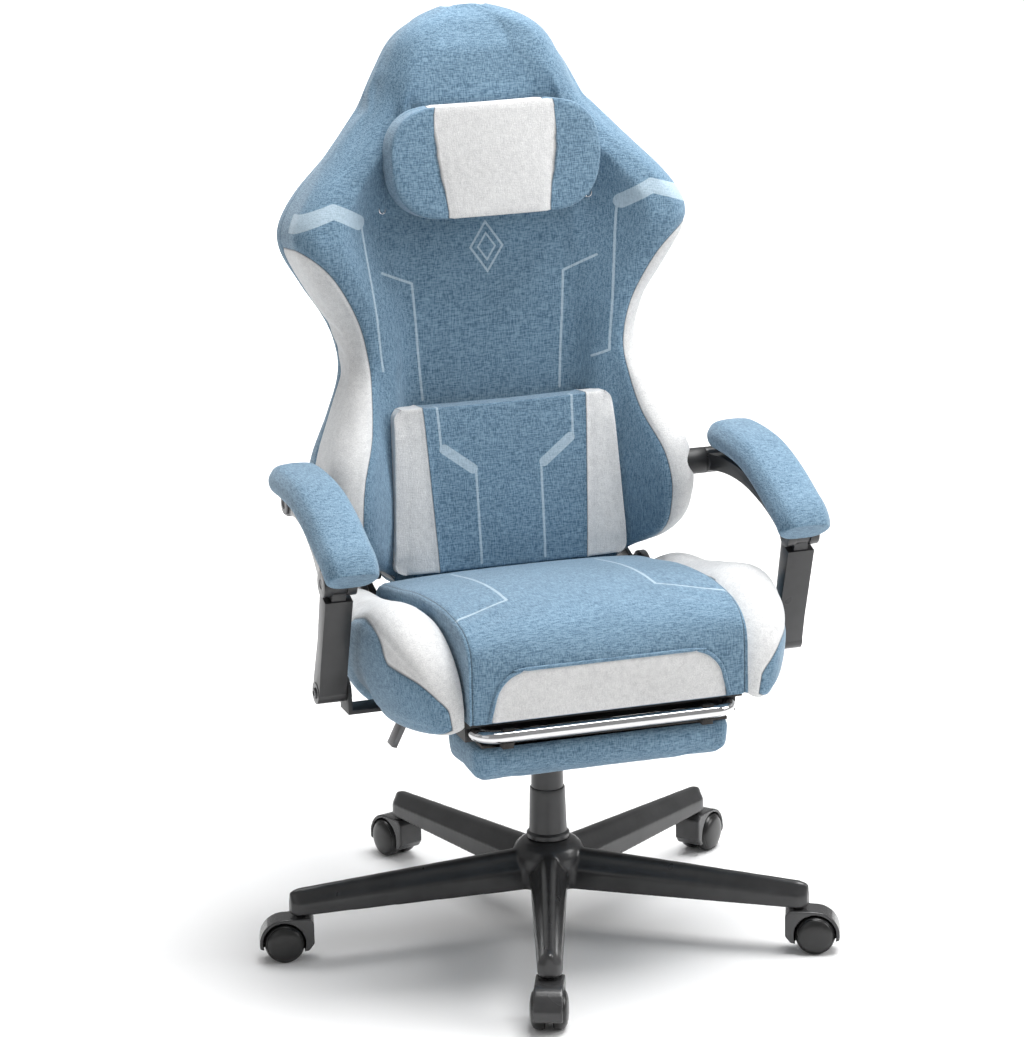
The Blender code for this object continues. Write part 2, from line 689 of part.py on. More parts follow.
# Seat ---------------------------------------------------------------------------------------
def make_seat(materials, seat):
    top = PAN_BOTTOM + PAN_THICKNESS
    pan = box((-SEAT_HALF_WIDTH, PAN_FRONT, PAN_BOTTOM), (SEAT_HALF_WIDTH, PAN_REAR, top))
    add_piece("seat_pan", pan, materials["plywood"], seat)
    low = top + TOUCH_GAP
    outline = [
        (CUSHION_REAR, low),
        (CUSHION_REAR, CUSHION_BACK_TOP - 0.012),
        (CUSHION_REAR - 0.012, CUSHION_BACK_TOP),
        (0.060, 0.461),
        (-0.030, 0.479),
        (-0.120, CUSHION_CREST),
        (-0.180, CUSHION_CREST - 0.003),
        (-0.218, 0.476),
        (-0.240, 0.456),
        (CUSHION_FRONT, 0.430),
        (CUSHION_FRONT, low),
    ]
    shape = plate(outline, -SEAT_HALF_WIDTH, SEAT_HALF_WIDTH)
    cushion = add_piece("seat_cushion", shape, materials["blue_fabric"], seat)
    bevel(cushion, CUSHION_EDGE_RADIUS, 2, 50.0)
    for side, name in ((-1, "left"), (1, "right")):
        bolster = add_piece(
            f"seat_bolster_{name}", seat_bolster(side), materials["pale_fabric"], seat, smooth=60.0
        )
        foot_y = strut_foot()[0]
        reach = STRUT_PLATE_HALF_DEPTH + BOLSTER_GAP
        inner_x, outer_x = SEAT_HALF_WIDTH, SEAT_HALF_WIDTH + BOLSTER_WIDTH + 0.01
        low_x, high_x = sorted((side * inner_x, side * outer_x))
        notch = box((low_x, foot_y - reach, STRUT_BAR_Z - 0.01), (high_x, foot_y + reach, STRUT_NOTCH_TOP))
        cut(bolster, add_cutter(f"bracket_notch_{name}", notch, seat))
    plate_top = PAN_BOTTOM - TOUCH_GAP
    tilt = box(
        (-TILT_PLATE_HALF_WIDTH, HOUSING_FRONT, plate_top - TILT_PLATE_THICKNESS),
        (TILT_PLATE_HALF_WIDTH, HOUSING_REAR + 0.02, plate_top),
    )
    obj = add_piece("tilt_plate", tilt, materials["black_steel"], seat)
    for side, name in ((-1, "left"), (1, "right")):
        inner = HOUSING_HALF_WIDTH + 0.002
        low_x, high_x = sorted((side * inner, side * (inner + HOUSING_WALL)))
        ear = box(
            (low_x, TILT_PIN_Y - 0.014, TILT_PIN_Z - 0.012),
            (high_x, TILT_PIN_Y + 0.014, plate_top - 0.001),
        )
        join(obj, add_cutter(f"tilt_ear_{name}", ear, seat))
    bore = rod(TILT_PIN_RADIUS + RUNNING_GAP, -0.09, 0.09, 16, "X")
    cut(obj, add_cutter("tilt_ear_bore", bore, seat, (0, TILT_PIN_Y, TILT_PIN_Z)))


def seat_bolster(side):
    """A side bolster lofted front to back, flat where it meets the cushion and full outside."""
    inner = SEAT_HALF_WIDTH + BOLSTER_GAP
    rings = []
    for y, share, top, bottom in BOLSTER_STATIONS:
        width = share * BOLSTER_WIDTH - BOLSTER_GAP
        height = top - bottom
        shape = (
            (0.0, 0.02),
            (0.45, 0.0),
            (0.86, 0.06),
            (1.0, 0.30),
            (1.0, 0.62),
            (0.90, 0.86),
            (0.62, 0.985),
            (0.30, 0.99),
            (0.08, 0.93),
            (0.0, 0.78),
        )
        ring = [(side * (inner + a * width), y, bottom + b * height) for a, b in shape]
        rings.append(ring)
    return skin(rings)


# Footrest -----------------------------------------------------------------------------------
def make_footrest(materials, seat, slide, flip):
    gap = RUNNING_GAP
    for side, name in ((-1, "left"), (1, "right")):
        centre = side * FOOT_TUBE_HALF_SPAN
        hole = FOOT_TUBE_RADIUS + gap
        outer = hole + RAIL_WALL
        top = PAN_BOTTOM - TOUCH_GAP
        rail = box(
            (centre - outer, RAIL_FRONT, FOOT_TUBE_Z - outer),
            (centre + outer, RAIL_REAR, top),
        )
        obj = add_piece(f"footrest_rail_{name}", rail, materials["black_steel"], seat)
        bore = rod(hole, RAIL_FRONT - 0.02, RAIL_REAR + 0.02, 16, "Y")
        cut(obj, add_cutter(f"rail_bore_{name}", bore, seat, (centre, 0, FOOT_TUBE_Z)))
    add_foot_tube(materials, slide)
    # the board and pad hang behind and below the bar that they turn on
    board_half = FOOT_PAD_HALF_WIDTH - 0.010
    eye = FOOT_TUBE_RADIUS + RUNNING_GAP + CLAMP_WALL
    drop = FOOT_TUBE_RADIUS + 0.0045
    board = add_piece(
        "footrest_board",
        box((-board_half, 0.012, -drop - FOOT_BOARD_THICKNESS), (board_half, FOOT_PAD_DEPTH, -drop)),
        materials["black_steel"],
        flip,
    )
    for side, name in ((-1, "left"), (1, "right")):
        low_x, high_x = sorted((side * CLAMP_OUTER, side * (CLAMP_OUTER - CLAMP_WIDTH)))
        clamp = rod(eye, low_x, high_x, 16, "X")
        join(board, add_cutter(f"clamp_shape_{name}", clamp, flip))
        ear = box((low_x, 0.0, -drop - FOOT_BOARD_THICKNESS + 0.0001), (high_x, 0.020, -drop + 0.006))
        join(board, add_cutter(f"clamp_foot_{name}", ear, flip))
    bore = rod(FOOT_TUBE_RADIUS + gap, -CLAMP_OUTER - 0.01, CLAMP_OUTER + 0.01, 16, "X")
    cut(board, add_cutter("clamp_bore", bore, flip))
    mouth = box((-CLAMP_OUTER - 0.01, -eye - 0.01, -eye), (CLAMP_OUTER + 0.01, -CLAMP_MOUTH, eye + 0.01))
    cut(board, add_cutter("clamp_mouth", mouth, flip))
    pad_top = -drop - FOOT_BOARD_THICKNESS - TOUCH_GAP
    shape = box(
        (-FOOT_PAD_HALF_WIDTH, FOOT_PAD_SETBACK, pad_top - FOOT_PAD_THICKNESS),
        (FOOT_PAD_HALF_WIDTH, FOOT_PAD_SETBACK + FOOT_PAD_DEPTH, pad_top),
    )
    pad = add_piece("footrest_pad", shape, materials["blue_fabric"], flip)
    bevel(pad, FOOT_PAD_CORNER, 2)


def add_foot_tube(materials, slide):
    """The U-shaped chromed tube: two legs in the rails and the front bar."""
    curve = bpy.data.curves.new("footrest_tube", "CURVE")
    curve.dimensions = "3D"
    curve.bevel_depth = FOOT_TUBE_RADIUS
    curve.bevel_resolution = 2
    curve.use_fill_caps = True
    span = FOOT_TUBE_HALF_SPAN
    bend = FOOT_TUBE_BEND
    corner = arc((-span + bend, bend), bend, 180, 270, 5)
    path = [(-span, FOOT_TUBE_REAR - FOOT_TUBE_FRONT)] + corner
    path += [(-x, y) for x, y in reversed(path)]
    spline = curve.splines.new("POLY")
    spline.points.add(len(path) - 1)
    for point, (x, y) in zip(spline.points, path):
        point.co = (x, y, 0, 1)
    curve.materials.append(materials["chrome"])
    tube = bpy.data.objects.new("footrest_tube", curve)
    tube.parent = slide
    bpy.context.scene.collection.objects.link(tube)


# Recline hinge ------------------------------------------------------------------------------
def make_recline_hinge(materials, seat, lever):
    inner = SEAT_HALF_WIDTH + 0.0013
    outer = inner + HINGE_PLATE
    foot_top = PAN_BOTTOM - TOUCH_GAP
    foot_bottom = foot_top - HINGE_PLATE
    for side, name in ((-1, "left"), (1, "right")):
        outline = [(HINGE_FOOT_FRONT, foot_bottom), (HINGE_FOOT_REAR, foot_bottom)]
        outline += arc((PIVOT_Y, PIVOT_Z), HINGE_EYE_RADIUS, 0, 180, 10)
        low_x, high_x = sorted((side * inner, side * outer))
        bracket = add_piece(
            f"recline_bracket_{name}", plate(outline, low_x, high_x), materials["black_steel"], seat
        )
        low_x, high_x = sorted((side * 0.115, side * (outer - 0.001)))
        foot_low = (low_x, HINGE_FOOT_FRONT + 0.002, foot_bottom + 0.0001)
        foot = box(foot_low, (high_x, HINGE_FOOT_REAR - 0.002, foot_top))
        join(bracket, add_cutter(f"hinge_foot_{name}", foot, seat))
        low_x, high_x = sorted((side * (inner - 0.018), side * (inner + 0.002)))
        pin = rod(HINGE_PIN_RADIUS, low_x, high_x, 16, "X")
        join(bracket, add_cutter(f"hinge_pin_{name}", pin, seat, (0, PIVOT_Y, PIVOT_Z)))
        start = side * (outer + TOUCH_GAP)
        low_x, high_x = sorted((start, start + side * COVER_THICKNESS))
        cover_outline = [(HINGE_FOOT_FRONT + 0.006, 0.352), (HINGE_FOOT_REAR - 0.004, 0.352)]
        cover_outline += arc((PIVOT_Y, PIVOT_Z), COVER_RADIUS, 0, 180, 12)
        shape = plate(cover_outline, low_x, high_x)
        cover = add_piece(f"recline_cover_{name}", shape, materials["dark_plastic"], seat)
        if side > 0:
            slot = rod(0.0068, low_x - 0.01, high_x + 0.01, 16, "X")
            cut(cover, add_cutter("recline_lever_bore", slot, seat, (0, PIVOT_Y - 0.012, PIVOT_Z - 0.038)))
    make_recline_lever(materials, lever, outer + TOUCH_GAP)


def make_recline_lever(materials, lever, start):
    """A flat lever on a long stub through the right cover, reaching forward outside the bolster."""
    obj = add_piece(
        "recline_lever",
        rod(0.0062, start + 0.001, RECLINE_LEVER_X + 0.004, 16, "X"),
        materials["grey_steel"],
        lever,
    )
    low = RECLINE_LEVER_X
    outline = arc((0, 0), 0.011, -90, 90, 8)
    length = RECLINE_LEVER_LENGTH
    outline += [(-0.45 * length, 0.007), (-length, -0.002), (-length, -0.018), (-0.6 * length, -0.013)]
    shape = plate(outline, low, low + 0.006)
    join(obj, add_cutter("recline_lever_blade", shape, lever))


# Backrest -----------------------------------------------------------------------------------
def rear_half(half):
    """Half the width of the shell's flat back, for its half-width at the widest line."""
    return max(half - REAR_TAPER, 0.5 * half)


def back_ring(station, rear):
    """One closed section of the padded back, wings forward, flat behind."""
    height, half, wing, inner, centre = station
    half *= BACK_HALF_WIDTH
    inner *= BACK_HALF_WIDTH
    right = [
        (inner * 0.5, centre),
        (inner, centre - 0.08 * (centre - wing)),
        (half - 0.052, wing + 0.30 * (centre - wing)),
        (half - 0.028, wing + 0.001),
        (half - 0.012, wing + 0.003),
        (half - 0.003, wing + 0.010),
        (half, wing + 0.022),
        (half - 0.35 * REAR_TAPER, 0.5 * rear + 0.5 * (wing + 0.022)),
        (rear_half(half), rear),
    ]
    if half < 0.11:
        scale = half / 0.11
        right[2] = (half - 0.052 * scale, right[2][1])
        right[3] = (half - 0.028 * scale, right[3][1])
        right[4] = (half - 0.012 * scale, right[4][1])
    left = [(-x, y) for x, y in reversed(right)]
    ring = [(0, centre)] + right + [(0, rear)] + left
    return [(x, y, height) for x, y in ring]


def back_outline_ring(station, front, rear, inset):
    height = station[0]
    wide = rear_half(station[1] * BACK_HALF_WIDTH)
    inset = min(inset, 0.5 * wide)
    narrow = wide - inset
    middle = (front + rear) / 2
    right = [(wide, front), (wide - inset * 0.25, middle), (narrow, rear)]
    left = [(-x, y) for x, y in reversed(right)]
    return [(x, y, height) for x, y in [*right, *left]]


def frame_path():
    """Half of the bent back frame, from its foot to the middle of its top bar (x, z)."""
    points = [
        (BACK_FRAME_HALF_SPAN, 0.018),
        (BACK_FRAME_HALF_SPAN, 0.200),
        (BACK_FRAME_HALF_SPAN, 0.380),
        (BACK_FRAME_HALF_SPAN - 0.015, BACK_FRAME_SHOULDER),
        (BACK_FRAME_NECK_HALF_SPAN, BACK_FRAME_TOP - 0.030),
        (BACK_FRAME_NECK_HALF_SPAN - 0.035, BACK_FRAME_TOP),
        (0, BACK_FRAME_TOP),
    ]
    return smooth_path(points, 2)


def sweep(path, radius, sides=10):
    """A round bar along (x, z) points in the back frame's plane."""
    rings = []
    for k, (x, z) in enumerate(path):
        before = path[max(k - 1, 0)]
        after = path[min(k + 1, len(path) - 1)]
        along = Vector((after[0] - before[0], 0, after[1] - before[1])).normalized()
        across = Vector((0, 1, 0)).cross(along)
        ring = []
        for j in range(sides):
            angle = 2 * math.pi * (j + 0.5) / sides
            offset = across * math.cos(angle) * radius + Vector((0, 1, 0)) * math.sin(angle) * radius
            ring.append(Vector((x, BACK_FRAME_PLANE, z)) + offset)
        rings.append(ring)
    return skin(rings)


def make_backrest(materials, back):
    rings = [back_ring(station, BACK_SPLIT) for station in BACK_STATIONS]
    shell = add_piece("back_cushion", skin(rings), materials["blue_fabric"], back, smooth=70.0)
    half_path = frame_path()
    path = half_path + [(-x, z) for x, z in reversed(half_path[:-1])]
    frame = add_piece("back_frame", sweep(path, BACK_FRAME_RADIUS), materials["black_steel"], back)
    low_path = [(x, z) if z > 0.05 else (x, z - 0.02) for x, z in path]
    groove = sweep(low_path, BACK_FRAME_RADIUS + GROOVE_GAP, 8)
    cut(shell, add_cutter("frame_groove", groove, back))
    # the groove is open to the rear, where the panel closes it
    cut(shell, add_cutter("frame_slot", slot_behind(low_path), back))
    front = BACK_SPLIT + TOUCH_GAP
    rear = front + BACK_PANEL_THICKNESS
    rings = [back_outline_ring(station, front, rear, 0.030) for station in BACK_STATIONS]
    panel = add_piece("back_panel", skin(rings), materials["blue_fabric"], back, smooth=70.0)
    for side, name in ((-1, "left"), (1, "right")):
        outer = SEAT_HALF_WIDTH + 0.0013 - RUNNING_GAP * 2
        low_x, high_x = sorted((side * (outer - 0.006), side * outer))
        outline = arc((0, 0), LUG_EYE_RADIUS, 120, 290, 10)
        outline += [(BACK_FRAME_PLANE + 0.011, 0.014), (BACK_FRAME_PLANE + 0.011, 0.036)]
        outline += [(BACK_FRAME_PLANE - 0.011, 0.036)]
        lug = plate(outline, low_x, high_x)
        join(frame, add_cutter(f"frame_lug_{name}", lug, back))
        low_x, high_x = sorted((side * (BACK_FRAME_HALF_SPAN - 0.004), side * (outer - 0.002)))
        gusset = box(
            (low_x, BACK_FRAME_PLANE - 0.0085, 0.020),
            (high_x, BACK_FRAME_PLANE + 0.0085, 0.0345),
        )
        join(frame, add_cutter(f"frame_gusset_{name}", gusset, back))
        bore = rod(HINGE_PIN_RADIUS + RUNNING_GAP, side * outer - 0.012, side * outer + 0.012, 16, "X")
        cut(frame, add_cutter(f"frame_lug_bore_{name}", bore, back))
    add_pillows(materials, back)
    return shell


def slot_behind(path):
    """The way by which the frame drops into its groove from behind."""
    reach = BACK_FRAME_RADIUS + GROOVE_GAP
    rings = []
    for k, (x, z) in enumerate(path):
        before = path[max(k - 1, 0)]
        after = path[min(k + 1, len(path) - 1)]
        along = Vector((after[0] - before[0], 0, after[1] - before[1])).normalized()
        across = Vector((0, 1, 0)).cross(along) * reach * 0.98
        spot = Vector((x, BACK_FRAME_PLANE, z))
        far = Vector((0, BACK_SPLIT + 0.01 - BACK_FRAME_PLANE, 0))
        rings.append([spot - across, spot + across, spot + across + far, spot - across + far])
    return skin(rings)


def add_pillows(materials, back):
    low = HEAD_PILLOW_CENTRE - HEAD_PILLOW_HEIGHT / 2
    high = HEAD_PILLOW_CENTRE + HEAD_PILLOW_HEIGHT / 2
    front = HEAD_PILLOW_BACK - HEAD_PILLOW_DEPTH
    shape = box(
        (-HEAD_PILLOW_HALF_WIDTH, front, low),
        (HEAD_PILLOW_HALF_WIDTH, HEAD_PILLOW_BACK, high),
    )
    pillow = add_piece("head_pillow", shape, materials["blue_fabric"], back)
    bevel(pillow, HEAD_PILLOW_CORNER, 3)
    front = LUMBAR_BACK - LUMBAR_DEPTH
    outline = [(LUMBAR_FOOT_HALF_WIDTH, LUMBAR_BOTTOM), (LUMBAR_TOP_HALF_WIDTH, LUMBAR_TOP)]
    outline += [(-x, z) for x, z in reversed(outline)]
    shape = plate(outline, front, LUMBAR_BACK, "Y")
    pillow = add_piece("lumbar_pillow", shape, materials["blue_fabric"], back)
    bevel(pillow, LUMBAR_CORNER, 2)


# Armrest linkage ----------------------------------------------------------------------------
def arm_line():
    """The arm's own centre line in (y, z), from its rear pivot over the top to the knuckle."""
    points = [
        (ARM_PIVOT_Y, ARM_PIVOT_Z),
        (0.060, 0.572),
        (0.005, 0.569),
        (-0.050, 0.555),
        (-0.090, 0.538),
        (KNUCKLE_Y, KNUCKLE_Z),
    ]
    return smooth_path(points, 3)


def offset_line(path, distances):
    """The path moved sideways, upwards for a positive distance."""
    moved = []
    for k, (y, z) in enumerate(path):
        before = path[max(k - 1, 0)]
        after = path[min(k + 1, len(path) - 1)]
        length = math.hypot(after[0] - before[0], after[1] - before[1])
        up = ((after[1] - before[1]) / length, -(after[0] - before[0]) / length)
        moved.append((y + up[0] * distances[k], z + up[1] * distances[k]))
    return moved


def make_armrests(materials, seat, back, shell, arms, struts):
    for side, name in ((-1, "left"), (1, "right")):
        make_arm(materials, arms[name], side, name)
        make_arm_pad(materials, arms[name], side, name)
        make_strut(materials, struts[name], side * KNUCKLE_X, name)
        make_strut_bracket(materials, seat, side, name)
        boss_end = side * (ARM_REAR_X - ARM_HALF_WIDTH - BOSS_PROUD - RUNNING_GAP)
        low_x, high_x = sorted((side * MOUNT_BOSS_ROOT, boss_end))
        y, z = to_back_frame(ARM_PIVOT_Y, ARM_PIVOT_Z)
        boss = rod(MOUNT_BOSS_RADIUS, low_x, high_x, 20, "X")
        obj = add_piece(f"arm_mount_{name}", boss, materials["black_steel"], back, (0, y, z))
        low_x, high_x = sorted((side * (MOUNT_BOSS_ROOT - TOUCH_GAP), side * (BACK_HALF_WIDTH + 0.01)))
        seat_of_boss = rod(MOUNT_BOSS_RADIUS + TOUCH_GAP, low_x, high_x, 20, "X")
        cut(shell, add_cutter(f"arm_mount_bore_{name}", seat_of_boss, back, (0, y, z)))
        low_x, high_x = sorted((boss_end - side * 0.004, boss_end + side * 0.028))
        pin = rod(LINK_PIN_RADIUS, low_x, high_x, 16, "X")
        join(obj, add_cutter(f"arm_mount_pin_{name}", pin, back, (0, y, z)))


def splay(bm, side):
    """Moves a shape made about x = 0 out to the arm, which spreads from its lug to its knuckle."""
    slope = (KNUCKLE_X - ARM_REAR_X) / (ARM_PIVOT_Y - KNUCKLE_Y)
    for vert in bm.verts:
        vert.co.x += side * (ARM_REAR_X - slope * vert.co.y)
    return bm


def to_back_frame(y, z):
    """A point of the seat's frame in the backrest's upright frame."""
    tilt = math.radians(BACK_TILT)
    dy, dz = y - PIVOT_Y, z - PIVOT_Z
    return dy * math.cos(tilt) - dz * math.sin(tilt), dy * math.sin(tilt) + dz * math.cos(tilt)


def make_arm(materials, body, side, name):
    path = arm_line()
    count = len(path)
    above = [0.010 - 0.003 * math.sin(math.pi * k / (count - 1)) for k in range(count)]
    below = [-0.013 + 0.004 * math.sin(math.pi * k / (count - 1)) for k in range(count)]
    outline = offset_line(path, above) + list(reversed(offset_line(path, below)))
    local = [(y - ARM_PIVOT_Y, z - ARM_PIVOT_Z) for y, z in outline]
    shape = splay(plate(local, -ARM_HALF_WIDTH, ARM_HALF_WIDTH), side)
    arm = add_piece(f"arm_{name}", shape, materials["dark_plastic"], body)
    half = ARM_HALF_WIDTH + BOSS_PROUD
    lug = rod(LUG_RADIUS, -half, half, 24, "X")
    join(arm, add_cutter(f"arm_lug_{name}", lug, body, (side * ARM_REAR_X, 0, 0)))
    spot = (side * KNUCKLE_X, KNUCKLE_Y - ARM_PIVOT_Y, KNUCKLE_Z - ARM_PIVOT_Z)
    knuckle = rod(KNUCKLE_RADIUS, -half, half, 24, "X")
    join(arm, add_cutter(f"arm_knuckle_{name}", knuckle, body, spot))
    fork_half = TONGUE_WIDTH / 2 + RUNNING_GAP
    fork = rod(KNUCKLE_RADIUS + 0.0015, -fork_half, fork_half, 24, "X")
    cut(arm, add_cutter(f"arm_fork_{name}", fork, body, spot))
    bore = rod(LINK_PIN_RADIUS + RUNNING_GAP, -half - 0.01, half + 0.01, 16, "X")
    cut(arm, add_cutter(f"arm_knuckle_bore_{name}", bore, body, spot))
    bore = rod(LINK_PIN_RADIUS + RUNNING_GAP, -half - 0.01, half + 0.01, 16, "X")
    cut(arm, add_cutter(f"arm_lug_bore_{name}", bore, body, (side * ARM_REAR_X, 0, 0)))


def arm_pad_line():
    """Where the pad's underside runs, from its rear end over the arm and round the knuckle."""
    points = [
        (0.097, 0.5805),
        (0.088, 0.5820),
        (0.045, 0.5830),
        (-0.005, 0.5795),
        (-0.058, 0.5645),
        (-0.102, 0.5460),
        (-0.124, 0.5390),
        (-0.134, 0.5290),
    ]
    return smooth_path(points, 2)


def make_arm_pad(materials, body, side, name):
    """The padded top, which arches with the arm and turns down over the knuckle."""
    line = arm_pad_line()
    count = len(line)
    rings = []
    for k, (y, z) in enumerate(line):
        before = line[max(k - 1, 0)]
        after = line[min(k + 1, count - 1)]
        length = math.hypot(after[0] - before[0], after[1] - before[1])
        up = ((after[1] - before[1]) / length, -(after[0] - before[0]) / length)
        share = k / (count - 1)
        round_off = math.sqrt(max(0.0, 1 - abs(2 * share - 1) ** 5))
        thick = ARM_PAD_THICKNESS * (0.45 + 0.55 * round_off)
        half = ARM_PAD_HALF_WIDTH * (0.72 + 0.28 * round_off)
        ring = []
        for a, b in rounded_ring(half, 0.0, thick, thick * 0.38):
            ring.append((a, y + up[0] * b - ARM_PIVOT_Y, z + up[1] * b - ARM_PIVOT_Z))
        rings.append(ring)
    shape = splay(skin(rings), side)
    add_piece(f"arm_pad_{name}", shape, materials["blue_fabric"], body, smooth=60.0)


def strut_foot():
    """The strut's lower pivot: the armrest linkage is a parallelogram."""
    return KNUCKLE_Y + PIVOT_Y - ARM_PIVOT_Y, KNUCKLE_Z + PIVOT_Z - ARM_PIVOT_Z


def make_strut(materials, body, centre, name):
    foot_y, foot_z = strut_foot()
    top = (KNUCKLE_Y - foot_y, KNUCKLE_Z - foot_z)
    length = math.hypot(*top)
    along = (top[0] / length, top[1] / length)
    across = (along[1], -along[0])

    def spot(distance, offset):
        return (
            along[0] * distance + across[0] * offset,
            along[1] * distance + across[1] * offset,
        )

    half = STRUT_DEPTH / 2
    neck = length - KNUCKLE_RADIUS - 0.004
    outline = [spot(0.004, -STRUT_FOOT_RADIUS), spot(0.040, -half * 0.92), spot(neck, -half)]
    outline += [spot(neck, half), spot(0.075, half * 0.7), spot(0.004, STRUT_FOOT_RADIUS)]
    low_x, high_x = centre - STRUT_HALF_WIDTH, centre + STRUT_HALF_WIDTH
    strut = add_piece(f"strut_{name}", plate(outline, low_x, high_x), materials["dark_plastic"], body)
    foot = rod(STRUT_FOOT_RADIUS, low_x - BOSS_PROUD, high_x + BOSS_PROUD, 20, "X")
    join(strut, add_cutter(f"strut_foot_{name}", foot, body))
    half_tongue = TONGUE_WIDTH / 2
    tongue_outline = [spot(neck - 0.006, -half * 0.8), spot(length, -half * 0.8)]
    tongue_outline += [spot(length, half * 0.8), spot(neck - 0.006, half * 0.8)]
    tongue = plate(tongue_outline, centre - half_tongue, centre + half_tongue)
    join(strut, add_cutter(f"strut_tongue_{name}", tongue, body))
    disc = rod(KNUCKLE_RADIUS - 0.002, centre - half_tongue + 0.0001, centre + half_tongue - 0.0001, 24, "X")
    join(strut, add_cutter(f"strut_disc_{name}", disc, body, (0, *top)))
    pin = rod(LINK_PIN_RADIUS, centre - ARM_HALF_WIDTH + 0.002, centre + ARM_HALF_WIDTH - 0.002, 16, "X")
    join(strut, add_cutter(f"strut_pin_{name}", pin, body, (0, *top)))
    bore = rod(LINK_PIN_RADIUS + RUNNING_GAP, low_x - 0.01, high_x + 0.01, 16, "X")
    cut(strut, add_cutter(f"strut_bore_{name}", bore, body))


def make_strut_bracket(materials, seat, side, name):
    """A cranked flat bar from under the pan, out below the bolster and up to the strut's foot."""
    foot_y, foot_z = strut_foot()
    outer = KNUCKLE_X - STRUT_HALF_WIDTH - BOSS_PROUD - RUNNING_GAP
    inner = outer - STRUT_PLATE
    top = PAN_BOTTOM - TOUCH_GAP
    low = STRUT_BAR_Z
    under_tube = FOOT_TUBE_HALF_SPAN + FOOT_TUBE_RADIUS + RAIL_WALL
    high = STRUT_NOTCH_TOP - TOUCH_GAP
    outline = [
        (SEAT_HALF_WIDTH - 0.080, top - STRUT_PLATE),
        (SEAT_HALF_WIDTH - 0.050, top - STRUT_PLATE),
        (SEAT_HALF_WIDTH - 0.044, low),
        (under_tube + 0.006, low),
        (under_tube + 0.022, high - STRUT_PLATE),
        (outer, high - STRUT_PLATE),
        (outer, foot_z),
        (inner, foot_z),
        (inner, high),
        (under_tube + 0.019, high),
        (under_tube + 0.003, low + STRUT_PLATE),
        (SEAT_HALF_WIDTH - 0.039, low + STRUT_PLATE),
        (SEAT_HALF_WIDTH - 0.044, top),
        (SEAT_HALF_WIDTH - 0.080, top),
    ]
    shape = plate(
        [(side * x, z) for x, z in outline],
        foot_y - STRUT_PLATE_HALF_DEPTH,
        foot_y + STRUT_PLATE_HALF_DEPTH,
        "Y",
    )
    obj = add_piece(f"strut_bracket_{name}", shape, materials["grey_steel"], seat)
    low_x, high_x = sorted((side * (inner + 0.0001), side * (outer - 0.0001)))
    eye = rod(STRUT_PLATE_HALF_DEPTH - 0.0002, low_x, high_x, 20, "X")
    join(obj, add_cutter(f"strut_eye_{name}", eye, seat, (0, foot_y, foot_z)))
    low_x, high_x = sorted((side * (inner + 0.001), side * (KNUCKLE_X + 0.012)))
    pin = rod(LINK_PIN_RADIUS, low_x, high_x, 16, "X")
    join(obj, add_cutter(f"strut_bracket_pin_{name}", pin, seat, (0, foot_y, foot_z)))


# Assembly -----------------------------------------------------------------------------------
def centre_on_footprint(chair):
    """Moves the whole chair so that the middle of its bounding box stands over the origin."""
    bpy.context.view_layer.update()
    graph = bpy.context.evaluated_depsgraph_get()
    corners = []
    for obj in bpy.context.scene.objects:
        if obj.type == "EMPTY" or obj.hide_render:
            continue
        evaluated = obj.evaluated_get(graph)
        mesh = evaluated.to_mesh()
        corners += [evaluated.matrix_world @ vertex.co for vertex in mesh.vertices]
        evaluated.to_mesh_clear()
    for axis in (0, 1):
        values = [corner[axis] for corner in corners]
        chair.location[axis] -= round((min(values) + max(values)) / 2, 4)
    bpy.context.view_layer.update()


def main():
    clear_scene()
    materials = make_materials()
    chair = make_empty("chair")
    base = make_empty("base", chair, rotation=(0, 0, BASE_HEADING))
    middle = make_empty("cover_slide", chair)
    piston = make_empty("lift_slide", chair)
    mechanism = make_empty("seat_swivel", chair)
    knob = make_empty("knob_turn", mechanism, (0, KNOB_Y, 0))
    lever = make_empty("lift_lever_hinge", mechanism, (-HOUSING_HALF_WIDTH, LEVER_Y, LEVER_Z))
    seat = make_empty("seat_frame", chair)
    make_empty("seat_tilt", chair, (0, TILT_PIN_Y, TILT_PIN_Z))
    foot_slide = make_empty("footrest_slide", seat, (0, FOOT_TUBE_FRONT, FOOT_TUBE_Z))
    foot_flip = make_empty("footrest_flip", foot_slide)
    recline_lever = make_empty("recline_lever_hinge", seat, (0, PIVOT_Y - 0.012, PIVOT_Z - 0.038))
    back = make_empty("recline", seat, (0, PIVOT_Y, PIVOT_Z), (-BACK_TILT, 0, 0))
    foot_y, foot_z = strut_foot()
    arms, struts = {}, {}
    for name in ("left", "right"):
        arms[name] = make_empty(f"arm_pivot_{name}", seat, (0, ARM_PIVOT_Y, ARM_PIVOT_Z))
        struts[name] = make_empty(f"strut_pivot_{name}", seat, (0, foot_y, foot_z))

    make_star_base(materials, base)
    for index in range(ARM_COUNT):
        heading = 360.0 * index / ARM_COUNT
        make_castor(index + 1, materials, base, heading, CASTOR_HEADINGS[index])
    make_column(materials, base, middle, piston, mechanism)
    make_mechanism(materials, mechanism, knob, lever)
    make_seat(materials, seat)
    make_footrest(materials, seat, foot_slide, foot_flip)
    make_recline_hinge(materials, seat, recline_lever)
    shell = make_backrest(materials, back)
    make_armrests(materials, seat, back, shell, arms, struts)
    centre_on_footprint(chair)


main()
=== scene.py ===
"""A gaming chair's looks: cloth, stitching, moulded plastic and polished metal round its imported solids.

Metres, +Z up. The chair faces -Y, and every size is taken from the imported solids' boxes and joints or
is a named value of the sub-assembly that it belongs to.
"""

import json
import logging
import math
from dataclasses import dataclass, field
from enum import Enum
from typing import Callable, Iterable, Sequence

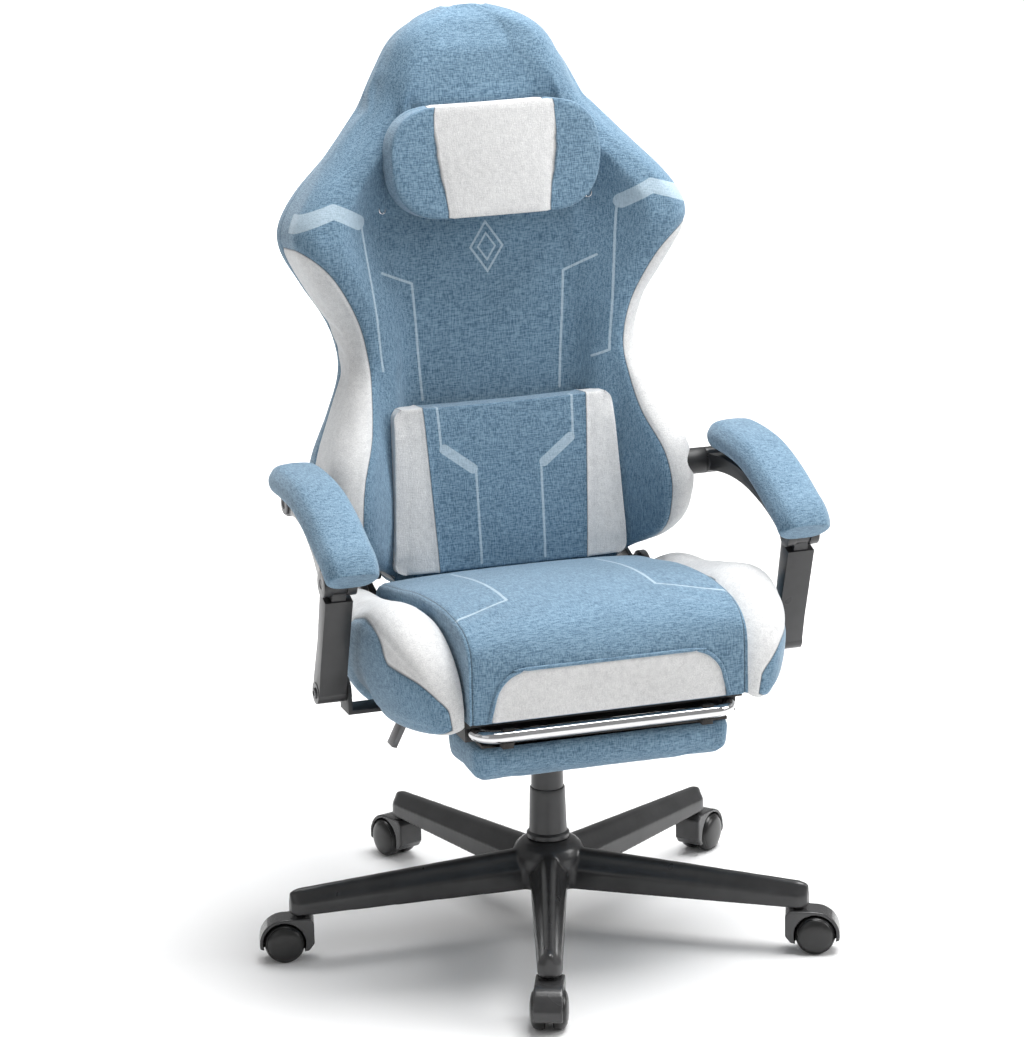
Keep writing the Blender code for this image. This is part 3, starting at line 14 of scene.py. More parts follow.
import bpy
from mathutils import Matrix, Vector

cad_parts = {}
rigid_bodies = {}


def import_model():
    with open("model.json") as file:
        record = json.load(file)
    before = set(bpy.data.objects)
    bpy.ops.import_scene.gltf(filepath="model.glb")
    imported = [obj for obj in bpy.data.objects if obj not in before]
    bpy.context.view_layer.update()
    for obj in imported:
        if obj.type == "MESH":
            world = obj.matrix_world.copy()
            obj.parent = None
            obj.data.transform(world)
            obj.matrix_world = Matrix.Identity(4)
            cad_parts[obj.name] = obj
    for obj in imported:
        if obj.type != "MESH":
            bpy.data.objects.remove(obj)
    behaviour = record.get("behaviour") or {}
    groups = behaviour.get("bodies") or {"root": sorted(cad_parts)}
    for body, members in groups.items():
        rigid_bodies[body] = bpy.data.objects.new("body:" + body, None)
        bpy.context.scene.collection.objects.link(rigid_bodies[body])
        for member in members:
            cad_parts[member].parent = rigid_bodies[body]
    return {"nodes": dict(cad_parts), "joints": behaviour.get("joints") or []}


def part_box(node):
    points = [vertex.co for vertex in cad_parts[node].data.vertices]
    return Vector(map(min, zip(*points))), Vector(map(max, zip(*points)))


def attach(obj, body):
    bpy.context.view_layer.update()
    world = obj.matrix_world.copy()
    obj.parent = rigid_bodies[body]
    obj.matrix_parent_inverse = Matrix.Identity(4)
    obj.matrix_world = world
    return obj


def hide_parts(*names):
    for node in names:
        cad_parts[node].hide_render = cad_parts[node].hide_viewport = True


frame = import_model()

logging.basicConfig(level=logging.INFO, format="%(message)s")
LOG = logging.getLogger("gaming_chair")

Piece = bpy.types.Object
Socket = bpy.types.NodeSocket
Place = Callable[[Vector], Vector]
Rule = Callable[[Vector], float]
Points = Sequence[tuple[float, float]]

FAR = 9.0  # a distance beyond every pattern


class Slot(Enum):
    """The record's material slots."""

    BLUE = "blue_fabric"
    PALE = "pale_fabric"
    NYLON = "dark_plastic"
    GLOSS = "gloss_plastic"
    CHROME = "chrome"
    ZINC = "grey_steel"
    BLACK_STEEL = "black_steel"
    PLYWOOD = "plywood"


SIDES = ((-1, "left"), (1, "right"))


# Where things are -----------------------------------------------------------------------------
@dataclass(frozen=True)
class Layout:
    """The seat's and the backrest's own axes in the chair's frame."""

    column: Vector
    hinge: Vector
    tilt: float

    def seat(self, x: float, y: float, z: float) -> Vector:
        """A point given from the column's axis on the floor."""
        return Vector((self.column.x + x, self.column.y + y, z))

    def back(self, x: float, y: float, z: float) -> Vector:
        """A point given from the recline hinge, in the upright backrest's axes."""
        cos, sin = math.cos(self.tilt), math.sin(self.tilt)
        behind, up = y * cos + z * sin, z * cos - y * sin
        return Vector((self.column.x + x, self.hinge.y + behind, self.hinge.z + up))

    def from_seat(self, point: Vector) -> Vector:
        """The opposite of seat()."""
        return Vector((point.x - self.column.x, point.y - self.column.y, point.z))

    def from_back(self, point: Vector) -> Vector:
        """The opposite of back()."""
        cos, sin = math.cos(self.tilt), math.sin(self.tilt)
        dy, dz = point.y - self.hinge.y, point.z - self.hinge.z
        return Vector((point.x - self.column.x, dy * cos - dz * sin, dy * sin + dz * cos))


def middle(node: str) -> Vector:
    """The middle of a CAD node's box."""
    low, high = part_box(node)
    return (low + high) / 2


def joint(name: str) -> dict:
    """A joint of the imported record, by name."""
    return next(entry for entry in frame["joints"] if entry["name"] == name)


def read_layout() -> Layout:
    """Works out the layout from the gas cylinder, the recline joint and the backrest's known lean."""
    column = middle("gas_cylinder")
    column.z = 0.0
    return Layout(column, Vector(joint("recline")["pos_m"]), math.radians(7.0))


LAYOUT = read_layout()


# Modelling by hand ----------------------------------------------------------------------------
def deselect() -> None:
    """Clears the selection, so that an operator acts only on the piece at hand."""
    active = bpy.context.view_layer.objects.active
    if active is not None and active.mode != "OBJECT":
        bpy.ops.object.mode_set(mode="OBJECT")
    bpy.ops.object.select_all(action="DESELECT")


def take(piece: Piece) -> None:
    """Selects one piece and makes it active."""
    deselect()
    piece.select_set(True)
    bpy.context.view_layer.objects.active = piece


def in_edit_mode(piece: Piece, work: Callable[[], None], select: str | None = "SELECT") -> None:
    """Runs operators on a piece in edit mode.

    Args:
        piece: The piece that is worked on.
        work: Calls the operators.
        select: SELECT or DESELECT for the whole mesh first, or None to keep the selection.
    """
    take(piece)
    bpy.ops.object.mode_set(mode="EDIT")
    if select is not None:
        bpy.ops.mesh.select_all(action=select)
    work()
    bpy.ops.object.mode_set(mode="OBJECT")


def name_piece(name: str) -> Piece:
    """Names the object that an operator has just added, and returns it."""
    piece = bpy.context.active_object
    piece.name = name
    piece.data.name = name
    return piece


def select_edges(piece: Piece, wanted: Callable[[Vector, Vector], bool]) -> None:
    """Selects the edges whose two ends satisfy a test."""
    mesh = piece.data
    bpy.context.tool_settings.mesh_select_mode = (False, True, False)
    for face in mesh.polygons:
        face.select = False
    for vertex in mesh.vertices:
        vertex.select = False
    for edge in mesh.edges:
        start, end = (mesh.vertices[index].co for index in edge.vertices)
        edge.select = wanted(start, end)
    for edge in mesh.edges:
        if edge.select:
            for index in edge.vertices:
                mesh.vertices[index].select = True


def block(name: str, cuts: tuple[int, int, int]) -> Piece:
    """A two-metre cube that is cut into a grid, ready to be moulded.

    Args:
        name: The piece's name.
        cuts: How many cuts cross the X, Y and Z edges.

    Returns:
        The cube, its coordinates from -1 to 1.
    """
    deselect()
    bpy.ops.mesh.primitive_cube_add(size=2.0)
    piece = name_piece(name)
    for axis, count in enumerate(cuts):
        if count == 0:
            continue
        select_edges(piece, lambda start, end: abs(start[axis] - end[axis]) > 1e-6)
        in_edit_mode(piece, lambda: bpy.ops.mesh.subdivide(number_cuts=count), None)
    return piece


def mould(piece: Piece, place: Place) -> None:
    """Moves every point of a block to where its piece has it, then turns the faces outwards."""
    for vertex in piece.data.vertices:
        vertex.co = place(vertex.co.copy())
    face_outwards(piece)


def face_outwards(piece: Piece) -> None:
    """Recalculates the normals of a closed piece."""
    in_edit_mode(piece, lambda: bpy.ops.mesh.normals_make_consistent(inside=False))


def apply_modifier(piece: Piece, kind: str, **values: object) -> None:
    """Adds a modifier, sets its values and applies it."""
    modifier = piece.modifiers.new(kind.lower(), kind)
    for key, value in values.items():
        setattr(modifier, key, value)
    take(piece)
    bpy.ops.object.modifier_apply(modifier=modifier.name)


def settle(piece: Piece) -> None:
    """Leaves the object at the origin, with its place in its mesh."""
    take(piece)
    bpy.ops.object.transform_apply(location=True, rotation=True, scale=True)


def shade(piece: Piece, degrees: float | None = None) -> None:
    """Shades a piece smooth, with sharp edges above an angle if one is given."""
    take(piece)
    if degrees is None:
        bpy.ops.object.shade_smooth()
    else:
        bpy.ops.object.shade_smooth_by_angle(angle=math.radians(degrees))


def turned(name: str, profile: Points, centre: Vector, steps: int = 64) -> Piece:
    """A turned piece, extruded ring by ring from its first flat end to its last.

    Args:
        name: The piece's name.
        profile: The radius and height of each ring.
        centre: Where the axis starts.
        steps: How many points a ring has.

    Returns:
        The closed piece.
    """
    deselect()
    radius, height = profile[0]
    bpy.ops.mesh.primitive_circle_add(
        vertices=steps, radius=radius, fill_type="NGON", location=(0, 0, height)
    )
    piece = name_piece(name)
    settle(piece)

    def pull() -> None:
        """Pulls the ring up the profile, one step at a time."""
        before, low = profile[0]
        for after, high in profile[1:]:
            bpy.ops.mesh.extrude_region_move(TRANSFORM_OT_translate={"value": (0, 0, high - low)})
            share = after / before
            bpy.ops.transform.resize(value=(share, share, 1), center_override=(0, 0, high))
            before, low = after, high

    in_edit_mode(piece, pull)
    piece.matrix_world = Matrix.Translation(centre)
    settle(piece)
    face_outwards(piece)
    shade(piece, 35.0)
    return piece


def refined(node: str, name: str, edge: float = 0.0012, keep: float = 1.0, smooth: float = 35.0) -> Piece:
    """A CAD node's shape with clean faces and rounded edges.

    Args:
        node: The CAD node.
        name: The new piece's name.
        edge: The radius of its edges.
        keep: Edges flatter than this many degrees are taken away first.
        smooth: The angle above which an edge is shaded sharp.

    Returns:
        The new piece, at rest in the node's place.
    """
    take(frame["nodes"][node])
    bpy.ops.object.duplicate()
    piece = name_piece(name)
    piece.parent = None
    for key in list(piece.keys()):
        del piece[key]
    piece.data.materials.clear()

    def clean() -> None:
        """Welds the loose triangles and clears the edges that lie flat."""
        bpy.ops.mesh.remove_doubles(threshold=0.00002)
        bpy.ops.mesh.dissolve_limited(angle_limit=math.radians(keep))
        bpy.ops.mesh.normals_make_consistent(inside=False)

    in_edit_mode(piece, clean)
    if edge > 0:
        apply_modifier(
            piece,
            "BEVEL",
            width=edge,
            segments=3,
            limit_method="ANGLE",
            angle_limit=math.radians(32.0),
            use_clamp_overlap=True,
            harden_normals=False,
        )
    shade(piece, smooth)
    return piece


def joined(name: str, parts: Sequence[Piece]) -> Piece:
    """Several shapes as one object."""
    deselect()
    for part in parts:
        part.select_set(True)
    bpy.context.view_layer.objects.active = parts[0]
    bpy.ops.object.join()
    return name_piece(name)


def ribbon(name: str, path: Sequence[Vector], radius: float, closed: bool = False, sides: int = 6) -> Piece:
    """A round welt, wire or tube along a path, as a mesh."""
    curve = bpy.data.curves.new(name, "CURVE")
    curve.dimensions = "3D"
    curve.bevel_depth = radius
    curve.bevel_resolution = sides
    curve.use_fill_caps = True
    spline = curve.splines.new("POLY")
    spline.points.add(len(path) - 1)
    spline.use_cyclic_u = closed
    for point, place in zip(spline.points, path):
        point.co = (*place, 1.0)
    piece = bpy.data.objects.new(name, curve)
    bpy.context.scene.collection.objects.link(piece)
    take(piece)
    bpy.ops.object.convert(target="MESH")
    piece = name_piece(name)
    in_edit_mode(piece, lambda: bpy.ops.mesh.remove_doubles(threshold=0.00001))
    face_outwards(piece)
    shade(piece, 50.0)
    return piece


def smooth_curve(points: Sequence[Vector], per_span: int = 6, closed: bool = False) -> list[Vector]:
    """Points on a smooth curve through the given ones."""
    count = len(points)
    if closed:
        ends = [points[-1], *points, points[0], points[1]]
    else:
        ends = [points[0], *points, points[-1]]
    spans = count if closed else count - 1
    found = []
    for k in range(spans):
        before, start, end, after = ends[k : k + 4]
        for step in range(per_span):
            t = step / per_span
            found.append(
                0.5
                * (
                    2 * start
                    + (end - before) * t
                    + (2 * before - 5 * start + 4 * end - after) * t * t
                    + (3 * start - before - 3 * end + after) * t**3
                )
            )
    if not closed:
        found.append(points[-1].copy())
    return found


def eased(value: float) -> float:
    """A smooth step from 0 to 1."""
    value = min(max(value, 0.0), 1.0)
    return value * value * (3 - 2 * value)


def between(table: Sequence[tuple[float, ...]], at: float, column: int) -> float:
    """Reads one column of a table of rising first values, with a smooth curve between its rows."""
    if at <= table[0][0]:
        return table[0][column]
    if at >= table[-1][0]:
        return table[-1][column]
    k = next(index for index in range(1, len(table)) if table[index][0] >= at)
    x0, x1 = table[k - 1][0], table[k][0]
    y0, y1 = table[k - 1][column], table[k][column]
    before = table[max(k - 2, 0)]
    after = table[min(k + 1, len(table) - 1)]
    m0 = (y1 - before[column]) / (x1 - before[0])
    m1 = (after[column] - y0) / (after[0] - x0)
    t = (at - x0) / (x1 - x0)
    width = x1 - x0
    return (
        (2 * t**3 - 3 * t**2 + 1) * y0
        + (t**3 - 2 * t**2 + t) * width * m0
        + (3 * t**2 - 2 * t**3) * y1
        + (t**3 - t**2) * width * m1
    )


def rounded(point: Vector, half: Vector, radius: float) -> Vector:
    """Moulds a block's point to a box with rounded edges, about the origin."""
    full = Vector(point[k] * half[k] for k in range(3))
    core = Vector(max(min(full[k], half[k] - radius), radius - half[k]) for k in range(3))
    out = full - core
    if out.length < 1e-9:
        return full
    return core + out.normalized() * radius


# Cloth work -----------------------------------------------------------------------------------
def puff(
    piece: Piece, cap: float, pressure: float = 4.0, held: Callable[[Vector], bool] | None = None
) -> None:
    """Blows a padded piece up as cloth, with its seams held, then rounds it by one subdivision.

    Args:
        piece: The closed piece, a little smaller than it ends.
        cap: How far a point may move.
        pressure: The cloth's inner pressure.
        held: Says which points are sewn down, such as those on a seam.
    """
    rest = [vertex.co.copy() for vertex in piece.data.vertices]
    group = piece.vertex_groups.new(name="sewn")
    sewn = [k for k, point in enumerate(rest) if held is not None and held(point)]
    if sewn:
        group.add(sewn, 1.0, "REPLACE")
    modifier = piece.modifiers.new("stuffing", "CLOTH")
    settings = modifier.settings
    settings.quality = 5
    settings.mass = 0.3
    settings.tension_stiffness = 18.0
    settings.compression_stiffness = 18.0
    settings.shear_stiffness = 6.0
    settings.bending_stiffness = 0.6
    settings.use_pressure = True
    settings.uniform_pressure_force = pressure
    settings.effector_weights.gravity = 0.0
    if sewn:
        settings.vertex_group_mass = group.name
    modifier.point_cache.frame_start = 1
    modifier.point_cache.frame_end = 20
    for step in range(1, 21):
        bpy.context.scene.frame_set(step)
    take(piece)
    bpy.ops.object.modifier_apply(modifier=modifier.name)
    bpy.context.scene.frame_set(1)
    piece.vertex_groups.clear()
    for vertex, start in zip(piece.data.vertices, rest):
        move = vertex.co - start
        if move.length > cap:
            vertex.co = start + move.normalized() * cap
    apply_modifier(piece, "SUBSURF", levels=1, render_levels=1)
    shade(piece)


def mark(piece: Piece, name: str, rule: Rule) -> None:
    """Writes a value on every point of a piece, for its material to read."""
    layer = piece.data.attributes.new(name, "FLOAT", "POINT")
    for vertex, entry in zip(piece.data.vertices, layer.data):
        entry.value = rule(vertex.co)


def along_path(point: Vector, path: Points) -> float:
    """How far a flat point (its x and y) is from a chain of straight runs."""
    best = FAR
    for (ax, ay), (bx, by) in zip(path, path[1:]):
        length = (bx - ax) ** 2 + (by - ay) ** 2
        share = ((point.x - ax) * (bx - ax) + (point.y - ay) * (by - ay)) / length
        share = min(max(share, 0.0), 1.0)
        best = min(best, math.hypot(point.x - ax - share * (bx - ax), point.y - ay - share * (by - ay)))
    return best


# Finishes -------------------------------------------------------------------------------------
class Recipe:
    """A material in the making: a Principled shader and short ways to add nodes to it."""

    def __init__(self, name: str) -> None:
        """Starts a material with a Principled shader."""
        self.material = bpy.data.materials.new(name)
        self.material.use_nodes = True
        self.tree = self.material.node_tree
        self.shader = self.tree.nodes["Principled BSDF"]

    def plain(self, **values: object) -> None:
        """Sets sockets of the shader, named with underscores for spaces."""
        for key, value in values.items():
            self.shader.inputs[key.replace("_", " ")].default_value = value

    def feed(self, socket: Socket, value: object) -> None:
        """Links a socket to another, or sets it to a number or a vector."""
        if isinstance(value, Socket):
            self.tree.links.new(value, socket)
        else:
            socket.default_value = value

    def place(self) -> Socket:
        """The point being shaded, in the chair's frame."""
        return self.tree.nodes.new("ShaderNodeTexCoord").outputs["Object"]

    def facing(self) -> Socket:
        """The surface's own direction, in the chair's frame."""
        return self.tree.nodes.new("ShaderNodeTexCoord").outputs["Normal"]

    def stretched(self, scale: tuple[float, float, float]) -> Socket:
        """The point being shaded, scaled by axis."""
        node = self.tree.nodes.new("ShaderNodeMapping")
        self.feed(node.inputs["Vector"], self.place())
        node.inputs["Scale"].default_value = scale
        return node.outputs["Vector"]

    def noise(self, scale: tuple[float, float, float], detail: float = 2.0) -> Socket:
        """Noise with its own scale along each axis, from 0 to 1."""
        node = self.tree.nodes.new("ShaderNodeTexNoise")
        self.feed(node.inputs["Vector"], self.stretched(scale))
        node.inputs["Scale"].default_value = 1.0
        node.inputs["Detail"].default_value = detail
        return node.outputs["Fac"]

    def sum(self, operation: str, first: object, second: object = 0.0, clamp: bool = False) -> Socket:
        """A sum of two values."""
        node = self.tree.nodes.new("ShaderNodeMath")
        node.operation = operation
        node.use_clamp = clamp
        self.feed(node.inputs[0], first)
        self.feed(node.inputs[1], second)
        return node.outputs[0]

    def span(
        self, value: object, low: float, high: float, to_low: float = 0.0, to_high: float = 1.0
    ) -> Socket:
        """Maps a value from one range to another, kept inside it."""
        node = self.tree.nodes.new("ShaderNodeMapRange")
        self.feed(node.inputs["Value"], value)
        node.inputs["From Min"].default_value = low
        node.inputs["From Max"].default_value = high
        node.inputs["To Min"].default_value = to_low
        node.inputs["To Max"].default_value = to_high
        return node.outputs["Result"]

    def blend(self, share: object, first: object, second: object) -> Socket:
        """A mix of two colours."""
        node = self.tree.nodes.new("ShaderNodeMix")
        node.data_type = "RGBA"
        self.feed(node.inputs["Factor"], share)
        self.feed(node.inputs[6], first)
        self.feed(node.inputs[7], second)
        return node.outputs[2]

    def value_of(self, name: str) -> Socket:
        """A value that was written on the piece's points."""
        node = self.tree.nodes.new("ShaderNodeAttribute")
        node.attribute_name = name
        return node.outputs["Fac"]

    def vector_of(self, name: str) -> Socket:
        """A vector that was written on the piece's points."""
        node = self.tree.nodes.new("ShaderNodeAttribute")
        node.attribute_name = name
        return node.outputs["Vector"]

    def vector(self, operation: str, output: str, *values: object) -> Socket:
        """A sum of vectors."""
        node = self.tree.nodes.new("ShaderNodeVectorMath")
        node.operation = operation
        for socket, value in zip(node.inputs, values):
            self.feed(socket, value)
        return node.outputs[output]

    def bump(self, height: object, distance: float, strength: float = 1.0) -> None:
        """Feeds a height to the shader's normal, over any that is there already."""
        node = self.tree.nodes.new("ShaderNodeBump")
        node.inputs["Distance"].default_value = distance
        node.inputs["Strength"].default_value = strength
        self.feed(node.inputs["Height"], height)
        normal = self.shader.inputs["Normal"]
        if normal.is_linked:
            self.feed(node.inputs["Normal"], normal.links[0].from_socket)
        self.feed(normal, node.outputs["Normal"])

    def stripe(self, paths: Sequence[tuple[Points, float]]) -> Socket:
        """One where the piece's flat pattern is on a printed line.

        Args:
            paths: Chains of points on the pattern, each with its line's width.

        Returns:
            The lines' mask.
        """
        spot = self.vector_of("plan")
        nearest: object = FAR
        for path, width in paths:
            for (ax, ay), (bx, by) in zip(path, path[1:]):
                run = Vector((bx - ax, by - ay, 0.0))
                away = self.vector("SUBTRACT", "Vector", spot, (ax, ay, 0.0))
                share = self.vector("DOT_PRODUCT", "Value", away, tuple(run / run.length_squared))
                share = self.sum("ADD", share, 0.0, clamp=True)
                left = self.vector("MULTIPLY_ADD", "Vector", share, tuple(-run), away)
                distance = self.vector("LENGTH", "Value", left)
                nearest = self.sum("MINIMUM", nearest, self.sum("SUBTRACT", distance, width / 2))
        return self.span(nearest, -0.0002, 0.0004, 1.0, 0.0)


@dataclass(frozen=True)
class Thread:
    """The colours of a cloth's darkest and lightest threads."""

    dark: tuple[float, float, float]
    light: tuple[float, float, float]


BLUE_THREAD = Thread((0.055, 0.120, 0.190), (0.215, 0.340, 0.450))
PALE_THREAD = Thread((0.50, 0.50, 0.505), (0.74, 0.74, 0.735))
PRINT_COLOUR = (0.44, 0.55, 0.63, 1.0)
# How dark the cloth is painted in its seam and stitch creases, as a share: painted shade.
SEAM_SHADE = 0.42


@dataclass(frozen=True)
class Cloth:
    """Heathered upholstery cloth, which may change to pale felt in a zone and carry printed lines.

    zone: the name of the value that is above zero where the cloth is pale, or None.
    pale: whether the whole piece is pale.
    prints: printed lines on the piece's flat pattern.
    emblem: whether the pattern has its middle motif.
    """

    name: str
    zone: str | None = None
    pale: bool = False
    prints: tuple[tuple[Points, float], ...] = ()
    emblem: bool = False

    def threads(self, recipe: Recipe) -> Socket:
        """How light each thread is: crossed slubs along the two axes nearest to the surface."""
        long, short = 120.0, 760.0
        families = ((long, short, short), (short, long, short), (short, short, long))
        node = recipe.tree.nodes.new("ShaderNodeSeparateXYZ")
        recipe.feed(node.inputs[0], recipe.facing())
        total: object = 0.0
        for scale, axis in zip(families, node.outputs):
            weight = recipe.sum("SUBTRACT", 1.0, recipe.sum("MULTIPLY", axis, axis))
            slubs = recipe.span(recipe.noise(scale, 1.0), 0.36, 0.64)
            total = recipe.sum("ADD", total, recipe.sum("MULTIPLY", weight, slubs))
        fine = recipe.noise((1300.0, 1300.0, 1300.0), 1.0)
        total = recipe.sum("ADD", recipe.sum("MULTIPLY", total, 0.5), recipe.sum("MULTIPLY", fine, 0.22))
        return recipe.span(total, 0.12, 1.10)

    def felt(self, recipe: Recipe) -> Socket:
        """How light the pale cloth's speckled fibres are."""
        fine = recipe.noise((900.0, 900.0, 900.0), 3.0)
        cloud = recipe.noise((140.0, 140.0, 140.0), 3.0)
        total = recipe.sum("ADD", recipe.sum("MULTIPLY", fine, 0.7), recipe.sum("MULTIPLY", cloud, 0.3))
        return recipe.span(total, 0.30, 0.62)

    def make(self) -> bpy.types.Material:
        """Makes the cloth's material."""
        recipe = Recipe(self.name)
        threads, felt = self.threads(recipe), self.felt(recipe)
        blue = recipe.blend(threads, (*BLUE_THREAD.dark, 1.0), (*BLUE_THREAD.light, 1.0))
        pale = recipe.blend(felt, (*PALE_THREAD.dark, 1.0), (*PALE_THREAD.light, 1.0))
        wide = recipe.noise((9.0, 9.0, 9.0), 2.0)
        shift = recipe.span(wide, 0.3, 0.7, 0.94, 1.06)
        if self.prints or self.emblem:
            lines: object = recipe.stripe(self.prints) if self.prints else 0.0
            if self.emblem:
                lines = recipe.sum("MAXIMUM", lines, self.lozenges(recipe))
            lines = recipe.sum("MULTIPLY", lines, recipe.span(recipe.value_of("front"), 0.4, 0.6))
            worn = recipe.span(threads, 0.0, 1.0, 0.62, 0.92)
            blue = recipe.blend(recipe.sum("MULTIPLY", lines, worn), blue, PRINT_COLOUR)
        colour, height = blue, threads
        if self.pale:
            colour, height = pale, felt
        if self.zone is not None:
            edge = recipe.value_of(self.zone)
            inside = recipe.span(edge, -0.0003, 0.0003)
            colour = recipe.blend(inside, blue, pale)
            # Painted shade along the seam crease where the blue and the pale cloth meet.
            seam = recipe.span(recipe.sum("ABSOLUTE", edge), 0.0002, 0.0014, SEAM_SHADE, 1.0)
            colour = self.darkened(recipe, colour, seam)
        colour = self.darkened(recipe, colour, shift)
        if self.zone is not None:
            # Painted shade along the stitch crease.
            away = recipe.sum("ABSOLUTE", recipe.value_of("stitch"))
            line = recipe.span(away, 0.0003, 0.0013, SEAM_SHADE, 1.0)
            colour = self.darkened(recipe, colour, line)
        recipe.feed(recipe.shader.inputs["Base Color"], colour)
        recipe.plain(Roughness=0.88, Sheen_Weight=0.35, Sheen_Roughness=0.45)
        recipe.shader.inputs["Sheen Tint"].default_value = (0.80, 0.88, 0.95, 1.0)
        recipe.bump(height, 0.0004, 0.55)
        return recipe.material

    @staticmethod
    def darkened(recipe: Recipe, colour: object, share: object) -> Socket:
        """A colour times a value."""
        return recipe.vector("SCALE", "Vector", colour, (0, 0, 0), (0, 0, 0), share)

    @staticmethod
    def lozenges(recipe: Recipe) -> Socket:
        """A plain motif: two nested outlines of a lozenge over a short bar."""
        spot = recipe.vector_of("plan")
        node = recipe.tree.nodes.new("ShaderNodeSeparateXYZ")
        recipe.feed(node.inputs[0], spot)
        across = recipe.sum("ABSOLUTE", node.outputs["X"])
        up = recipe.sum("ABSOLUTE", recipe.sum("SUBTRACT", node.outputs["Y"], 0.442))
        reach = recipe.sum("ADD", recipe.sum("MULTIPLY", across, 1.25), recipe.sum("MULTIPLY", up, 0.85))
        mask: object = 0.0
        for radius, width in ((0.027, 0.0036), (0.0145, 0.0030)):
            ring = recipe.sum("ABSOLUTE", recipe.sum("SUBTRACT", reach, radius))
            mask = recipe.sum("MAXIMUM", mask, recipe.span(ring, width / 2, width / 2 + 0.0006, 1.0, 0.0))
        return mask


@dataclass(frozen=True)
class Moulded:
    """Injection-moulded plastic with a fine spark-eroded grain and faint scuffs."""

    name: str
    colour: tuple[float, float, float]
    roughness: float
    grain: float = 0.25
    coat: float = 0.0

    def make(self) -> bpy.types.Material:
        """Makes the plastic's material."""
        recipe = Recipe(self.name)
        cloud = recipe.noise((24.0, 24.0, 24.0), 3.0)
        light = tuple(channel * 1.25 + 0.004 for channel in self.colour)
        recipe.feed(
            recipe.shader.inputs["Base Color"],
            recipe.blend(recipe.span(cloud, 0.35, 0.65), (*self.colour, 1.0), (*light, 1.0)),
        )
        scuffs = recipe.noise((30.0, 30.0, 30.0), 1.5)
        rough = recipe.span(scuffs, 0.25, 0.75, self.roughness - 0.03, self.roughness + 0.04)
        recipe.feed(recipe.shader.inputs["Roughness"], rough)
        recipe.plain(Coat_Weight=self.coat, Coat_Roughness=0.12)
        recipe.bump(recipe.noise((2600.0, 2600.0, 2600.0), 1.0), 0.0001, self.grain)
        return recipe.material


@dataclass(frozen=True)
class Metal:
    """Plated, coated or bare steel, with fine marks along its length."""

    name: str
    colour: tuple[float, float, float]
    roughness: float
    metallic: float = 1.0
    marks: float = 0.05

    def make(self) -> bpy.types.Material:
        """Makes the metal's material."""
        recipe = Recipe(self.name)
        cloud = recipe.noise((35.0, 35.0, 35.0), 4.0)
        dark = tuple(channel * 0.86 for channel in self.colour)
        recipe.feed(
            recipe.shader.inputs["Base Color"],
            recipe.blend(recipe.span(cloud, 0.35, 0.65), (*dark, 1.0), (*self.colour, 1.0)),
        )
        marks = recipe.noise((60.0, 900.0, 900.0), 2.0)
        recipe.feed(
            recipe.shader.inputs["Roughness"],
            recipe.span(marks, 0.3, 0.7, max(self.roughness - self.marks, 0.02), self.roughness + self.marks),
        )
        recipe.plain(Metallic=self.metallic)
        recipe.bump(recipe.noise((1800.0, 1800.0, 1800.0), 1.0), 0.00005, 0.15)
        return recipe.material


@dataclass(frozen=True)
class Plywood:
    """Black-stained plywood: plies and glue lines on its edges, long grain on its faces."""

    name: str

    def make(self) -> bpy.types.Material:
        """Makes the plywood's material."""
        recipe = Recipe(self.name)
        grain = recipe.span(recipe.noise((220.0, 9.0, 60.0), 4.0), 0.35, 0.65)
        face = recipe.blend(grain, (0.020, 0.018, 0.017, 1.0), (0.040, 0.036, 0.033, 1.0))
        plies = recipe.sum("SINE", recipe.sum("MULTIPLY", self.height(recipe), 2 * math.pi / 0.0018))
        recipe.feed(
            recipe.shader.inputs["Base Color"],
            recipe.blend(recipe.span(plies, -0.2, 1.0, 0.0, 0.35), face, (0.010, 0.009, 0.008, 1.0)),
        )
        recipe.plain(Roughness=0.72)
        recipe.bump(grain, 0.0002, 0.3)
        return recipe.material

    @staticmethod
    def height(recipe: Recipe) -> Socket:
        """The point's height."""
        node = recipe.tree.nodes.new("ShaderNodeSeparateXYZ")
        recipe.feed(node.inputs[0], recipe.place())
        return node.outputs["Z"]


@dataclass(frozen=True)
class Webbing:
    """Black elastic webbing with ribs across it."""

    name: str

    def make(self) -> bpy.types.Material:
        """Makes the webbing's material."""
        recipe = Recipe(self.name)
        ribs = recipe.noise((300.0, 300.0, 1900.0), 1.0)
        recipe.feed(
            recipe.shader.inputs["Base Color"],
            recipe.blend(recipe.span(ribs, 0.35, 0.65), (0.008, 0.008, 0.009, 1.0), (0.03, 0.03, 0.032, 1.0)),
        )
        recipe.plain(Roughness=0.8, Sheen_Weight=0.3)
        recipe.bump(ribs, 0.0004, 0.6)
        return recipe.material


